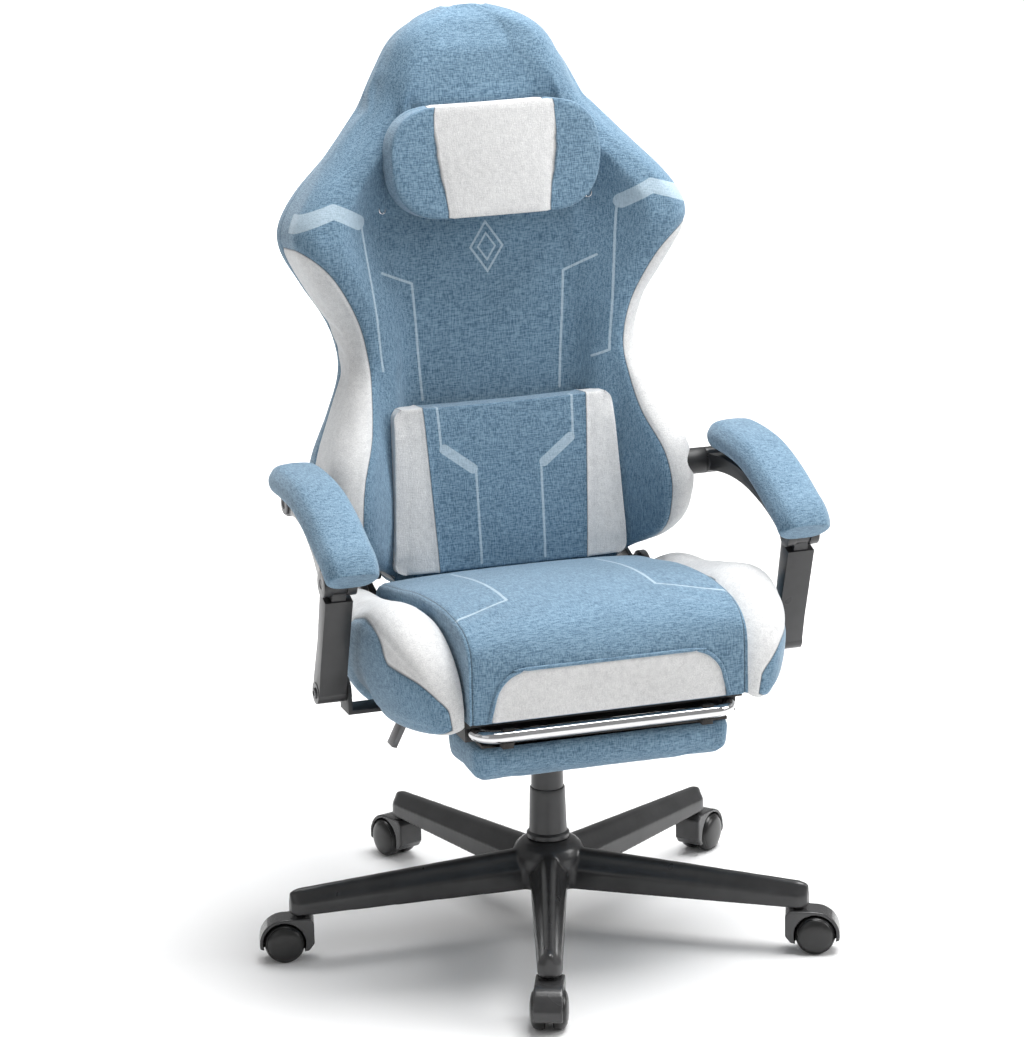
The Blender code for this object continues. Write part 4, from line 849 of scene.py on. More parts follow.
class Finishes:
    """Every finish that the chair's pieces share, made once."""

    def __init__(self) -> None:
        """Makes the shared materials."""
        self.blue = Cloth("blue_heather_cloth").make()
        self.pale = Cloth("pale_felt_cloth", pale=True).make()
        self.nylon = Moulded("satin_nylon", (0.024, 0.024, 0.025), 0.30, 0.04, 0.10).make()
        self.hood = Moulded("hood_nylon", (0.030, 0.030, 0.031), 0.24, 0.03, 0.2).make()
        self.wheel = Moulded("wheel_nylon", (0.006, 0.006, 0.006), 0.30, 0.03, 0.1).make()
        self.chrome = Metal("polished_chrome", (0.74, 0.74, 0.75), 0.08, 1.0, 0.02).make()
        self.zinc = Metal("satin_zinc", (0.15, 0.15, 0.155), 0.40, 0.85, 0.08).make()
        self.steel = Metal("black_powder_coat", (0.022, 0.022, 0.023), 0.5, 0.0, 0.06).make()
        self.plywood = Plywood("black_stained_plywood").make()
        self.webbing = Webbing("black_webbing").make()

    def of_slot(self, slot: Slot) -> bpy.types.Material:
        """The shared finish of a record slot."""
        return {
            Slot.BLUE: self.blue,
            Slot.PALE: self.pale,
            Slot.NYLON: self.nylon,
            Slot.GLOSS: self.wheel,
            Slot.CHROME: self.chrome,
            Slot.ZINC: self.zinc,
            Slot.BLACK_STEEL: self.steel,
            Slot.PLYWOOD: self.plywood,
        }[slot]


def finish_piece(
    piece: Piece,
    body: str,
    material: bpy.types.Material,
    slot: Slot | None = None,
    replaces: Iterable[str] = (),
) -> Piece:
    """Gives a finished piece its material and its body.

    Args:
        piece: The finished piece.
        body: The CAD body that it moves with.
        material: Its finish.
        slot: The record slot that the finish belongs to; not used.
        replaces: CAD nodes that it stands for.

    Returns:
        The same piece.
    """
    piece.data.materials.clear()
    piece.data.materials.append(material)
    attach(piece, body)
    nodes = tuple(replaces)
    if nodes:
        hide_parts(*nodes)
    LOG.info("made %s on %s: %d faces", piece.name, body, len(piece.data.polygons))
    return piece


# Flat patterns --------------------------------------------------------------------------------
def read_plan(piece: Piece) -> list[tuple[float, float, float]]:
    """Each point's place on the piece's flat pattern and how much it faces the front."""
    plan = piece.data.attributes["plan"].data
    front = piece.data.attributes["front"].data
    return [(spot.vector[0], spot.vector[1], face.value) for spot, face in zip(plan, front)]


def mark_by_plan(piece: Piece, name: str, rule: Callable[[float, float, float], float]) -> None:
    """Writes a value that depends only on the place on the flat pattern and on the facing."""
    values = [rule(*spot) for spot in read_plan(piece)]
    layer = piece.data.attributes.new(name, "FLOAT", "POINT")
    for entry, value in zip(layer.data, values):
        entry.value = value


def crease_by(piece: Piece, name: str, depth: float = 0.0014, width: float = 0.0026) -> None:
    """Pulls a piece in along the seam where one of its values is zero."""
    values = [entry.value for entry in piece.data.attributes[name].data]
    normals = [vertex.normal.copy() for vertex in piece.data.vertices]
    for vertex, value, normal in zip(piece.data.vertices, values, normals):
        share = math.exp(-((value / width) ** 2))
        if share > 0.01:
            vertex.co = vertex.co - normal * (depth * share)


def round_box(x: float, y: float, half_x: float, half_y: float, radius: float) -> float:
    """How far a flat point is inside (above zero) a rectangle with round corners about the origin."""
    dx, dy = abs(x) - half_x + radius, abs(y) - half_y + radius
    outside = math.hypot(max(dx, 0.0), max(dy, 0.0))
    return radius - outside - min(max(dx, dy), 0.0)


def dress_block(
    name: str,
    cuts: tuple[int, int, int],
    place: Place,
    plan: Callable[[Vector, Vector], tuple[float, float]],
    front: Callable[[Vector], float],
) -> Piece:
    """A moulded block that knows its flat pattern.

    Args:
        name: The piece's name.
        cuts: How many cuts cross its X, Y and Z edges.
        place: Where each point of the cube goes.
        plan: The place on the flat pattern, from the cube's point and the moulded point.
        front: How much the cube's point faces the front, from -1 to 1.

    Returns:
        The piece.
    """
    piece = block(name, cuts)
    raw = [vertex.co.copy() for vertex in piece.data.vertices]
    mould(piece, place)
    places = [vertex.co.copy() for vertex in piece.data.vertices]
    layer = piece.data.attributes.new("plan", "FLOAT_VECTOR", "POINT")
    for entry, cube, spot in zip(layer.data, raw, places):
        across, along = plan(cube, spot)
        entry.vector = (across, along, 0.0)
    layer = piece.data.attributes.new("front", "FLOAT", "POINT")
    for entry, cube in zip(layer.data, raw):
        entry.value = front(cube)
    return piece


# Seat -----------------------------------------------------------------------------------------
@dataclass
class SeatCushion:
    """The thick middle cushion, with a pale panel on its front and printed lines on its top."""

    half: float = 0.1795
    front: float = -0.2465
    rear: float = 0.141
    foot: float = 0.3662
    edge: float = 0.008
    crown: float = 0.003
    top: tuple[tuple[float, float], ...] = (
        (-0.2465, 0.4400),
        (-0.2440, 0.4530),
        (-0.2370, 0.4640),
        (-0.2240, 0.4735),
        (-0.2040, 0.4800),
        (-0.1700, 0.4840),
        (-0.1200, 0.4845),
        (-0.030, 0.475),
        (0.060, 0.457),
        (0.130, 0.443),
        (0.141, 0.436),
    )
    panel_centre: float = 0.372
    panel_half: tuple[float, float] = (0.148, 0.059)
    panel_corner: float = 0.040
    print_lines: Points = ((0.097, 0.080), (0.097, -0.145), (0.175, -0.186))
    print_width: float = 0.0036
    welt: float = 0.0026

    def place(self, cube: Vector) -> Vector:
        """Where a point of the cube goes."""
        y = self.front + (self.rear - self.front) * (1 - math.cos(math.pi * (cube.y + 1) / 2)) / 2
        x = self.half * math.sin(cube.x * math.pi / 2)
        top = between(self.top, y, 1)
        inset = max(abs(x) - (self.half - self.edge), 0.0) / self.edge
        top -= self.edge * (1 - math.sqrt(max(1 - inset * inset, 0.0)))
        along = 1 - ((y + 0.05) / 0.2) ** 2 if abs(y + 0.05) < 0.2 else 0
        top += self.crown * (1 - (x / self.half) ** 2) * along
        z = self.foot + (top - self.foot) * (cube.z + 1) / 2
        bulge = 0.003 * (1 - cube.z**2) * (1 - (x / self.half) ** 2)
        if cube.y < -0.999:
            y -= bulge
        return LAYOUT.seat(x, y, z)

    def plan(self, cube: Vector, point: Vector) -> tuple[float, float]:
        """The pattern's place: x, and y on the top or minus the height on the front."""
        spot = LAYOUT.from_seat(point)
        return (spot.x, spot.y) if cube.y > -0.999 else (spot.x, spot.z - 2.0)

    def panel_edge(self, x: float, along: float) -> float:
        """How far inside the front panel a point of the pattern is."""
        if along > -1.0:
            return -FAR
        height = along + 2.0
        lean = 0.10 * (height - 0.40)
        return round_box(abs(x) + lean, height - self.panel_centre, *self.panel_half, self.panel_corner)

    def build(self, finishes: Finishes) -> None:
        """Builds and dresses the cushion and the welt round its front panel."""
        piece = dress_block(
            "seat_cushion_cover",
            (58, 64, 16),
            self.place,
            self.plan,
            lambda cube: 1.0 if cube.z > 0.99 or cube.y < -0.99 else -1.0,
        )
        puff(piece, 0.006, 3.0, lambda point: self.sewn(point))
        mark_by_plan(piece, "panel", lambda x, along, facing: self.panel_edge(x, along))
        mark_by_plan(piece, "stitch", lambda x, along, facing: self.half - 0.004 - abs(x))
        crease_by(piece, "stitch", 0.0012, 0.0022)
        crease_by(piece, "panel", 0.0012, 0.0024)
        lines = tuple(
            (tuple((side * x, y) for x, y in self.print_lines), self.print_width) for side in (-1, 1)
        )
        cloth = Cloth("seat_cushion_cloth", zone="panel", prints=lines)
        finish_piece(piece, "seat", cloth.make(), Slot.BLUE, ("seat_cushion",))
        self.add_welt(finishes, piece)

    def sewn(self, point: Vector) -> bool:
        """Whether a point of the cushion is held by a seam or rests on the pan."""
        spot = LAYOUT.from_seat(point)
        return spot.z < self.foot + 0.004 or abs(abs(spot.x) - self.half + self.edge * 0.3) < 0.003

    def add_welt(self, finishes: Finishes, cover: Piece) -> None:
        """Lays a round blue welt along the front panel's edge."""
        half_x, half_z = self.panel_half
        top, corner = self.panel_centre + half_z, self.panel_corner
        corners = [(half_x + 0.004, self.foot + 0.002), (half_x, top - corner)]
        for step in range(1, 9):
            turn = math.radians(90 * step / 8)
            out, up = corner * math.cos(turn), corner * math.sin(turn)
            corners.append((half_x - corner + out, top - corner + up))
        right = [(x - 0.10 * (z - 0.40), z) for x, z in corners]
        outline = right + [(-x, z) for x, z in reversed(right)]
        path = []
        for x, z in outline:
            start = LAYOUT.seat(x, self.front - 0.05, z)
            hit, spot, normal, _ = cover.ray_cast(start, Vector((0, 1, 0)))
            path.append(spot + normal * self.welt * 0.35 if hit else LAYOUT.seat(x, self.front, z))
        welt = ribbon("seat_panel_welt", smooth_curve(path, 3), self.welt)
        finish_piece(welt, "seat", finishes.blue, Slot.BLUE)


@dataclass
class SeatBolster:
    """One raised side of the seat: pale over its top and inner side, blue outside."""

    side: int
    label: str
    inner: float = 0.1835
    width: float = 0.0925
    stations: tuple[tuple[float, ...], ...] = (
        (-0.237, 0.24, 0.388, 0.358),
        (-0.232, 0.42, 0.410, 0.354),
        (-0.220, 0.58, 0.434, 0.350),
        (-0.190, 0.80, 0.462, 0.345),
        (-0.150, 0.93, 0.481, 0.339),
        (-0.100, 0.99, 0.486, 0.334),
        (-0.040, 0.99, 0.472, 0.332),
        (0.050, 0.93, 0.453, 0.337),
        (0.120, 0.82, 0.444, 0.342),
        (0.136, 0.74, 0.438, 0.348),
    )
    notch: tuple[float, float, float] = (-0.062, 0.026, 0.3495)

    def section(self, y: float) -> tuple[float, float, float]:
        """The width, top and bottom at a place along the bolster."""
        share, top, bottom = (between(self.stations, y, column) for column in (1, 2, 3))
        centre, reach, lift = self.notch
        near = eased((reach + 0.012 - abs(y - centre)) / 0.012)
        return self.width * share, top, bottom + max(lift - bottom, 0.0) * near

    def place(self, cube: Vector) -> Vector:
        """Where a point of the cube goes."""
        low, high = self.stations[0][0], self.stations[-1][0]
        y = low + (high - low) * (1 - math.cos(math.pi * (cube.y + 1) / 2)) / 2
        width, top, bottom = self.section(y)
        half_x, half_z = width / 2, (top - bottom) / 2
        spot = rounded(Vector((cube.x, 0.0, cube.z)), Vector((half_x, 0.001, half_z)), 0.001)
        across, up = spot.x / half_x, spot.z / half_z
        squash = math.sqrt(max(1 - (across * up) ** 2 * 0.42, 0.0))
        outer = eased((across + 1) / 2)
        lift = squash * (0.93 + 0.07 * (1 - across**2))
        across, up = across * (squash + (1 - squash) * (1 - outer)), up * lift
        lean = 0.17 * (1 - up) * half_x * outer
        x = self.inner + half_x * (1 + across) - lean
        return LAYOUT.seat(self.side * x, y, bottom + half_z * (1 + up))

    def pale_edge(self, point: Vector) -> float:
        """How far inside the pale zone a point is."""
        spot = LAYOUT.from_seat(point)
        width, _, _ = self.section(spot.y)
        reach = abs(spot.x) - self.inner
        rise = 0.42 + 0.42 * eased((spot.z - 0.345) / 0.10)
        outer = self.width * rise * min(width / self.width + 0.12, 1.0)
        inner = 0.008 - 0.05 * eased((-0.10 - spot.y) / 0.06)
        return min(outer - reach, reach - inner)

    def build(self, finishes: Finishes) -> None:
        """Builds and dresses the bolster."""
        piece = dress_block(
            f"seat_bolster_{self.label}_cover",
            (20, 56, 22),
            self.place,
            lambda cube, point: (point.x, point.y),
            lambda cube: 1.0,
        )
        puff(piece, 0.004, 3.0, lambda point: abs(LAYOUT.from_seat(point).x) < self.inner + 0.002)
        mark(piece, "pale", self.pale_edge)
        mark(piece, "stitch", lambda point: FAR)
        crease_by(piece, "pale", 0.0013, 0.0024)
        cloth = Cloth(f"seat_bolster_{self.label}_cloth", zone="pale")
        finish_piece(piece, "seat", cloth.make(), Slot.PALE, (f"seat_bolster_{self.label}",))


@dataclass
class FootPad:
    """The footrest's padded block, which hangs under the seat until it is pulled out and turned over."""

    half: tuple[float, float, float] = (0.1675, 0.0585, 0.0235)
    centre: tuple[float, float] = (-0.162, 0.3045)
    corner: float = 0.013

    def place(self, cube: Vector) -> Vector:
        """Where a point of the cube goes."""
        even = Vector(math.sin(value * math.pi / 2) for value in cube)
        spot = rounded(even, Vector(self.half), self.corner)
        low = (1 - cube.z) / 2
        spot.x *= 1 - 0.035 * low * low
        spot.y *= 1 - 0.10 * low * low
        return LAYOUT.seat(spot.x, self.centre[0] + spot.y, self.centre[1] + spot.z)

    def build(self, finishes: Finishes) -> None:
        """Builds and dresses the pad."""
        piece = dress_block(
            "footrest_pad_cover",
            (52, 20, 12),
            self.place,
            lambda cube, point: (point.x, point.y),
            lambda cube: 1.0,
        )
        top = self.centre[1] + self.half[2] - 0.0008
        puff(piece, 0.0035, 3.0, lambda point: point.z > top)
        finish_piece(piece, "footrest", finishes.blue, Slot.BLUE, ("footrest_pad",))


# Backrest -------------------------------------------------------------------------------------
@dataclass
class BackShell:
    """The one-piece backrest: a hollow lap between two wings, which run up into the head."""

    rows: tuple[tuple[float, ...], ...] = (
        (0.037, 0.184, -0.022, 0.150, 0.010),
        (0.050, 0.212, -0.052, 0.152, 0.007),
        (0.075, 0.234, -0.076, 0.153, 0.006),
        (0.105, 0.243, -0.087, 0.154, 0.006),
        (0.136, 0.245, -0.091, 0.154, 0.006),
        (0.184, 0.238, -0.083, 0.152, 0.006),
        (0.244, 0.212, -0.054, 0.146, 0.005),
        (0.298, 0.194, -0.034, 0.140, 0.002),
        (0.354, 0.204, -0.037, 0.146, -0.005),
        (0.410, 0.237, -0.050, 0.166, -0.009),
        (0.454, 0.261, -0.060, 0.180, -0.010),
        (0.486, 0.262, -0.060, 0.180, -0.010),
        (0.524, 0.239, -0.053, 0.160, -0.011),
        (0.572, 0.192, -0.040, 0.130, -0.014),
        (0.624, 0.148, -0.025, 0.094, -0.016),
        (0.679, 0.119, -0.021, 0.066, -0.016),
        (0.719, 0.095, -0.014, 0.042, -0.010),
        (0.741, 0.062, -0.001, 0.026, 0.001),
        (0.7495, 0.030, 0.014, 0.016, 0.014),
    )
    rear: float = 0.083
    rear_taper: float = 0.030
    side_round: float = 0.030
    hem: float = 0.025
    hem_reach: float = 0.168
    strip_inner: Points = (
        (0.030, 0.150),
        (0.045, 0.193),
        (0.100, 0.207),
        (0.160, 0.202),
        (0.220, 0.180),
        (0.280, 0.171),
        (0.311, 0.172),
        (0.360, 0.184),
        (0.408, 0.209),
        (0.436, 0.232),
        (0.462, 0.266),
        (0.500, 0.330),
    )
    fine: float = 0.0030

    def section(self, height: float) -> tuple[float, ...]:
        """The half width, wing front, inner half width and lap depth at a height."""
        return tuple(between(self.rows, height, column) for column in (1, 2, 3, 4))

    def front_at(self, x: float, height: float) -> float:
        """How far forward the front surface is."""
        half, wing, inner, lap = self.section(height)
        reach = abs(x)
        crest = inner + (half - inner) * 0.62
        rise = eased((reach - inner * 0.72) / (crest - inner * 0.72))
        depth = lap + (wing - lap) * rise
        radius = min(self.side_round, half * 0.6)
        past = max(reach - (half - radius), 0.0) / radius
        return depth + radius * 0.9 * (1 - math.sqrt(max(1 - min(past, 1.0) ** 2, 0.0)))

    def rear_at(self, x: float, height: float) -> float:
        """How far back the rear surface is."""
        half = self.section(height)[0]
        top = max(height - 0.690, 0.0) / 0.0600
        foot = max(0.075 - height, 0.0) / 0.040
        fall = 1 - math.sqrt(max(1 - min(top, 1.0) ** 2, 0.0))
        low = 1 - math.sqrt(max(1 - min(foot, 1.0) ** 2, 0.0))
        taper = self.rear_taper * (abs(x) / half) ** 3 + 0.062 * fall + 0.022 * low
        radius = min(0.018, half * 0.5)
        past = max(abs(x) - (half - radius), 0.0) / radius
        return self.rear - taper - radius * (1 - math.sqrt(max(1 - min(past, 1.0) ** 2, 0.0)))

    def place(self, cube: Vector) -> Vector:
        """Where a point of the cube goes."""
        low, high = self.rows[0][0], self.rows[-1][0]
        even = (cube.z + 1) / 2
        height = low + (high - low) * (even + 0.028 * math.sin(2 * math.pi * even))
        half = self.section(height)[0]
        x = half * math.sin(cube.x * math.pi / 2)
        front, rear = self.front_at(x, height), self.rear_at(x, height)
        tuck = eased((self.hem_reach - abs(x)) / 0.03) * max((0.075 - height) / 0.038, 0.0)
        height -= self.hem * min(tuck, 1.0)
        rear = max(rear, front + 0.004)
        return LAYOUT.back(x, front + (rear - front) * (cube.y + 1) / 2, height)

    def strip_edge(self, x: float, height: float, facing: float) -> float:
        """How far inside the pale strip along the wing's edge a point is."""
        table = self.strip_inner
        inner = between(table, height, 1)
        slope = (between(table, height + 0.002, 1) - between(table, height - 0.002, 1)) / 0.004
        off = (abs(x) - inner) / math.sqrt(1 + slope * slope)
        return min(off, (facing + 0.55) * 0.05)

    def prints(self) -> tuple[tuple[Points, float], ...]:
        """The printed lines and shoulder bands."""
        lines = []
        for side in (-1, 1):
            flip = lambda points: tuple((side * x, z) for x, z in points)
            lines.append((flip(((0.146, 0.4205), (0.102, 0.4025), (0.093, 0.251))), self.fine))
            lines.append((flip(((0.1735, 0.487), (0.163, 0.392), (0.153, 0.297))), self.fine * 0.9))
            lines.append((flip(((0.178, 0.489), (0.214, 0.507), (0.285, 0.484))), 0.019))
        lines.append((((0.153, 0.297), (0.134, 0.290)), self.fine))
        return tuple(lines)

    def build(self, finishes: Finishes) -> Piece:
        """Builds and dresses the shell with its wings blown up over their foam.

        Returns:
            The shell.
        """
        piece = dress_block(
            "backrest_cover",
            (70, 14, 112),
            self.place,
            lambda cube, point: (LAYOUT.from_back(point).x, LAYOUT.from_back(point).z),
            lambda cube: -cube.y,
        )
        puff(piece, 0.005, 2.0, self.sewn)
        mark_by_plan(piece, "strip", self.strip_edge)
        mark_by_plan(piece, "stitch", lambda x, height, facing: (facing + 0.55) * 0.08)
        crease_by(piece, "strip", 0.0012, 0.0026)
        crease_by(piece, "stitch", 0.0016, 0.0028)
        cloth = Cloth("backrest_cloth", zone="strip", prints=self.prints(), emblem=True)
        stands_for = ("back_cushion", "back_panel")
        return finish_piece(piece, "backrest", cloth.make(), Slot.BLUE, stands_for)

    def sewn(self, point: Vector) -> bool:
        """Whether a point is held: the rear panel, the lap behind the pillows and the edges' seams."""
        spot = LAYOUT.from_back(point)
        return spot.y > 0.050 or spot.z < 0.045 or (abs(spot.x) < 0.10 and spot.z < 0.60)


@dataclass
class Pillow:
    """A loose pillow on the backrest, given by its sewn outline and how far it bulges."""

    name: str
    node: str
    low: float
    high: float
    half_low: float
    half_high: float
    front: float
    rear: float
    corner: float
    hollow: float
    edge: float
    cuts: tuple[int, int, int]
    cap: float
    power: float
    draw: float
    band: Callable[[float, float], float]
    seams: tuple[tuple[Points, float], ...] = ()
    prints: tuple[tuple[Points, float], ...] = ()

    def outline(self, x: float, z: float) -> tuple[float, float]:
        """A point of the square moved into the pillow's outline, as across and height."""
        middle_z, half_z = (self.low + self.high) / 2, (self.high - self.low) / 2
        half_x = self.half_low + (self.half_high - self.half_low) * (z + 1) / 2
        flat = rounded(Vector((x, 0.0, z)), Vector((half_x, self.corner, half_z)), self.corner)
        dip = self.hollow * (1 - (flat.x / half_x) ** 2) * max(z, 0.0)
        return flat.x, middle_z + flat.z - dip

    def place(self, cube: Vector) -> Vector:
        """Where a point of the cube goes."""
        x, z = math.sin(cube.x * math.pi / 2), math.sin(cube.z * math.pi / 2)
        reach = min((abs(x) ** self.power + abs(z) ** self.power) ** (1 / self.power), 1.0)
        swell = self.edge + (1 - self.edge) * math.sqrt(1 - reach**self.power)
        pull = 1 - self.draw * abs(cube.y) ** 2 * eased((reach - 0.8) / 0.2)
        across, height = self.outline(x * pull, z * pull)
        centre = self.rear + (self.front - self.rear) * 0.42
        depth = (self.front if cube.y < 0 else self.rear) - centre
        return LAYOUT.back(across, centre + depth * abs(cube.y) * swell, height)

    def build(self, finishes: Finishes) -> Piece:
        """Builds and dresses the pillow.

        Returns:
            The pillow.
        """
        piece = dress_block(
            self.name,
            self.cuts,
            self.place,
            lambda cube, point: (LAYOUT.from_back(point).x, LAYOUT.from_back(point).z),
            lambda cube: -cube.y,
        )
        rear_limit = self.rear - 0.004
        puff(piece, self.cap, 4.0, lambda point: LAYOUT.from_back(point).y > rear_limit)
        mark_by_plan(piece, "band", lambda x, height, facing: self.band(abs(x), height))
        seams = self.seams
        mark_by_plan(piece, "stitch", lambda x, height, facing: self.seam_distance(x, height, seams))
        crease_by(piece, "band", 0.0015, 0.0028)
        crease_by(piece, "stitch", 0.0010, 0.0020)
        cloth = Cloth(f"{self.node}_cloth", zone="band", prints=self.prints)
        return finish_piece(piece, "backrest", cloth.make(), Slot.BLUE, (self.node,))

    @staticmethod
    def seam_distance(x: float, height: float, seams: tuple[tuple[Points, float], ...]) -> float:
        """The distance to the nearest seam."""
        spot = Vector((abs(x), height))
        return min((along_path(spot, path) for path, _ in seams), default=FAR)


def head_pillow() -> Pillow:
    """The head pillow: blue ends round a pale middle."""
    return Pillow(
        name="head_pillow_cover",
        node="head_pillow",
        low=0.487,
        high=0.631,
        half_low=0.1370,
        half_high=0.1395,
        front=-0.080,
        rear=-0.0285,
        corner=0.058,
        hollow=0.007,
        edge=0.16,
        cuts=(46, 12, 26),
        cap=0.007,
        power=2.5,
        draw=0.02,
        band=lambda x, z: 0.068 + 0.009 * (z - 0.49) / 0.14 - x,
    )


def lumbar_pillow() -> Pillow:
    """The lumbar pillow: pale side bands and printed lines."""
    lines = []
    for side in (-1, 1):
        thin = ((0.091, 0.254), (0.0888, 0.195), (0.0440, 0.160), (0.0430, 0.039))
        lines.append((tuple((side * x, z) for x, z in thin), 0.0030))
        lines.append((((side * 0.0850, 0.1920), (side * 0.0480, 0.1635)), 0.0125))
    return Pillow(
        name="lumbar_pillow_cover",
        node="lumbar_pillow",
        low=0.034,
        high=0.247,
        half_low=0.1575,
        half_high=0.1465,
        front=-0.0510,
        rear=-0.0085,
        corner=0.014,
        hollow=0.002,
        edge=0.72,
        cuts=(50, 10, 34),
        cap=0.004,
        power=8.0,
        draw=0.035,
        band=lambda x, z: x - (0.100 + 0.010 * (z - 0.04) / 0.21),
        seams=((((0.1455, 0.03), (0.137, 0.26)), 0.0),),
        prints=tuple(lines),
    )


@dataclass
class PillowStraps:
    """Black elastic webbing with a metal slide, from each pillow's lower corners to the shell."""

    width: float = 0.016
    thick: float = 0.0018
    head: tuple[float, float] = (0.134, 0.508)
    lumbar: tuple[float, float] = (0.147, 0.056)

    def build(self, finishes: Finishes, shell: BackShell) -> None:
        """Builds four short straps with their slides."""
        straps, slides = [], []
        for x, height in (self.head, self.lumbar):
            for side in (-1, 1):
                straps.append(self.strap(side, x, height, shell))
                slides.append(self.slide(side, x + 0.004, height, shell))
        webbing = joined("pillow_straps", straps)
        finish_piece(webbing, "backrest", finishes.webbing)
        metal = joined("pillow_strap_slides", slides)
        finish_piece(metal, "backrest", finishes.chrome, Slot.CHROME)

    def strap(self, side: int, x: float, height: float, shell: BackShell) -> Piece:
        """One strap that leaves the pillow's back and runs down into the shell's cloth."""

        def place(cube: Vector) -> Vector:
            """Where a point of the strap goes."""
            across = x - 0.020 + 0.030 * (cube.x + 1) / 2
            front = shell.front_at(across, height)
            sink = 0.004 * eased((cube.x - 0.4) / 0.6)
            depth = front - 0.0016 + sink + self.thick * cube.y / 2
            return LAYOUT.back(side * across, depth, height + self.width / 2 * cube.z)

        piece = block("strap", (12, 1, 4))
        mould(piece, place)
        shade(piece, 40.0)
        return piece

    def slide(self, side: int, x: float, height: float, shell: BackShell) -> Piece:
        """One wire slide round a strap."""
        reach = self.width / 2 + 0.0022
        corners = [(x - 0.004, -reach), (x + 0.004, -reach), (x + 0.004, reach), (x - 0.004, reach)]
        path = [
            LAYOUT.back(side * across, shell.front_at(across, height) - 0.0036, height + up)
            for across, up in corners
        ]
        return ribbon("slide", smooth_curve(path, 5, True), 0.0011, True, 3)


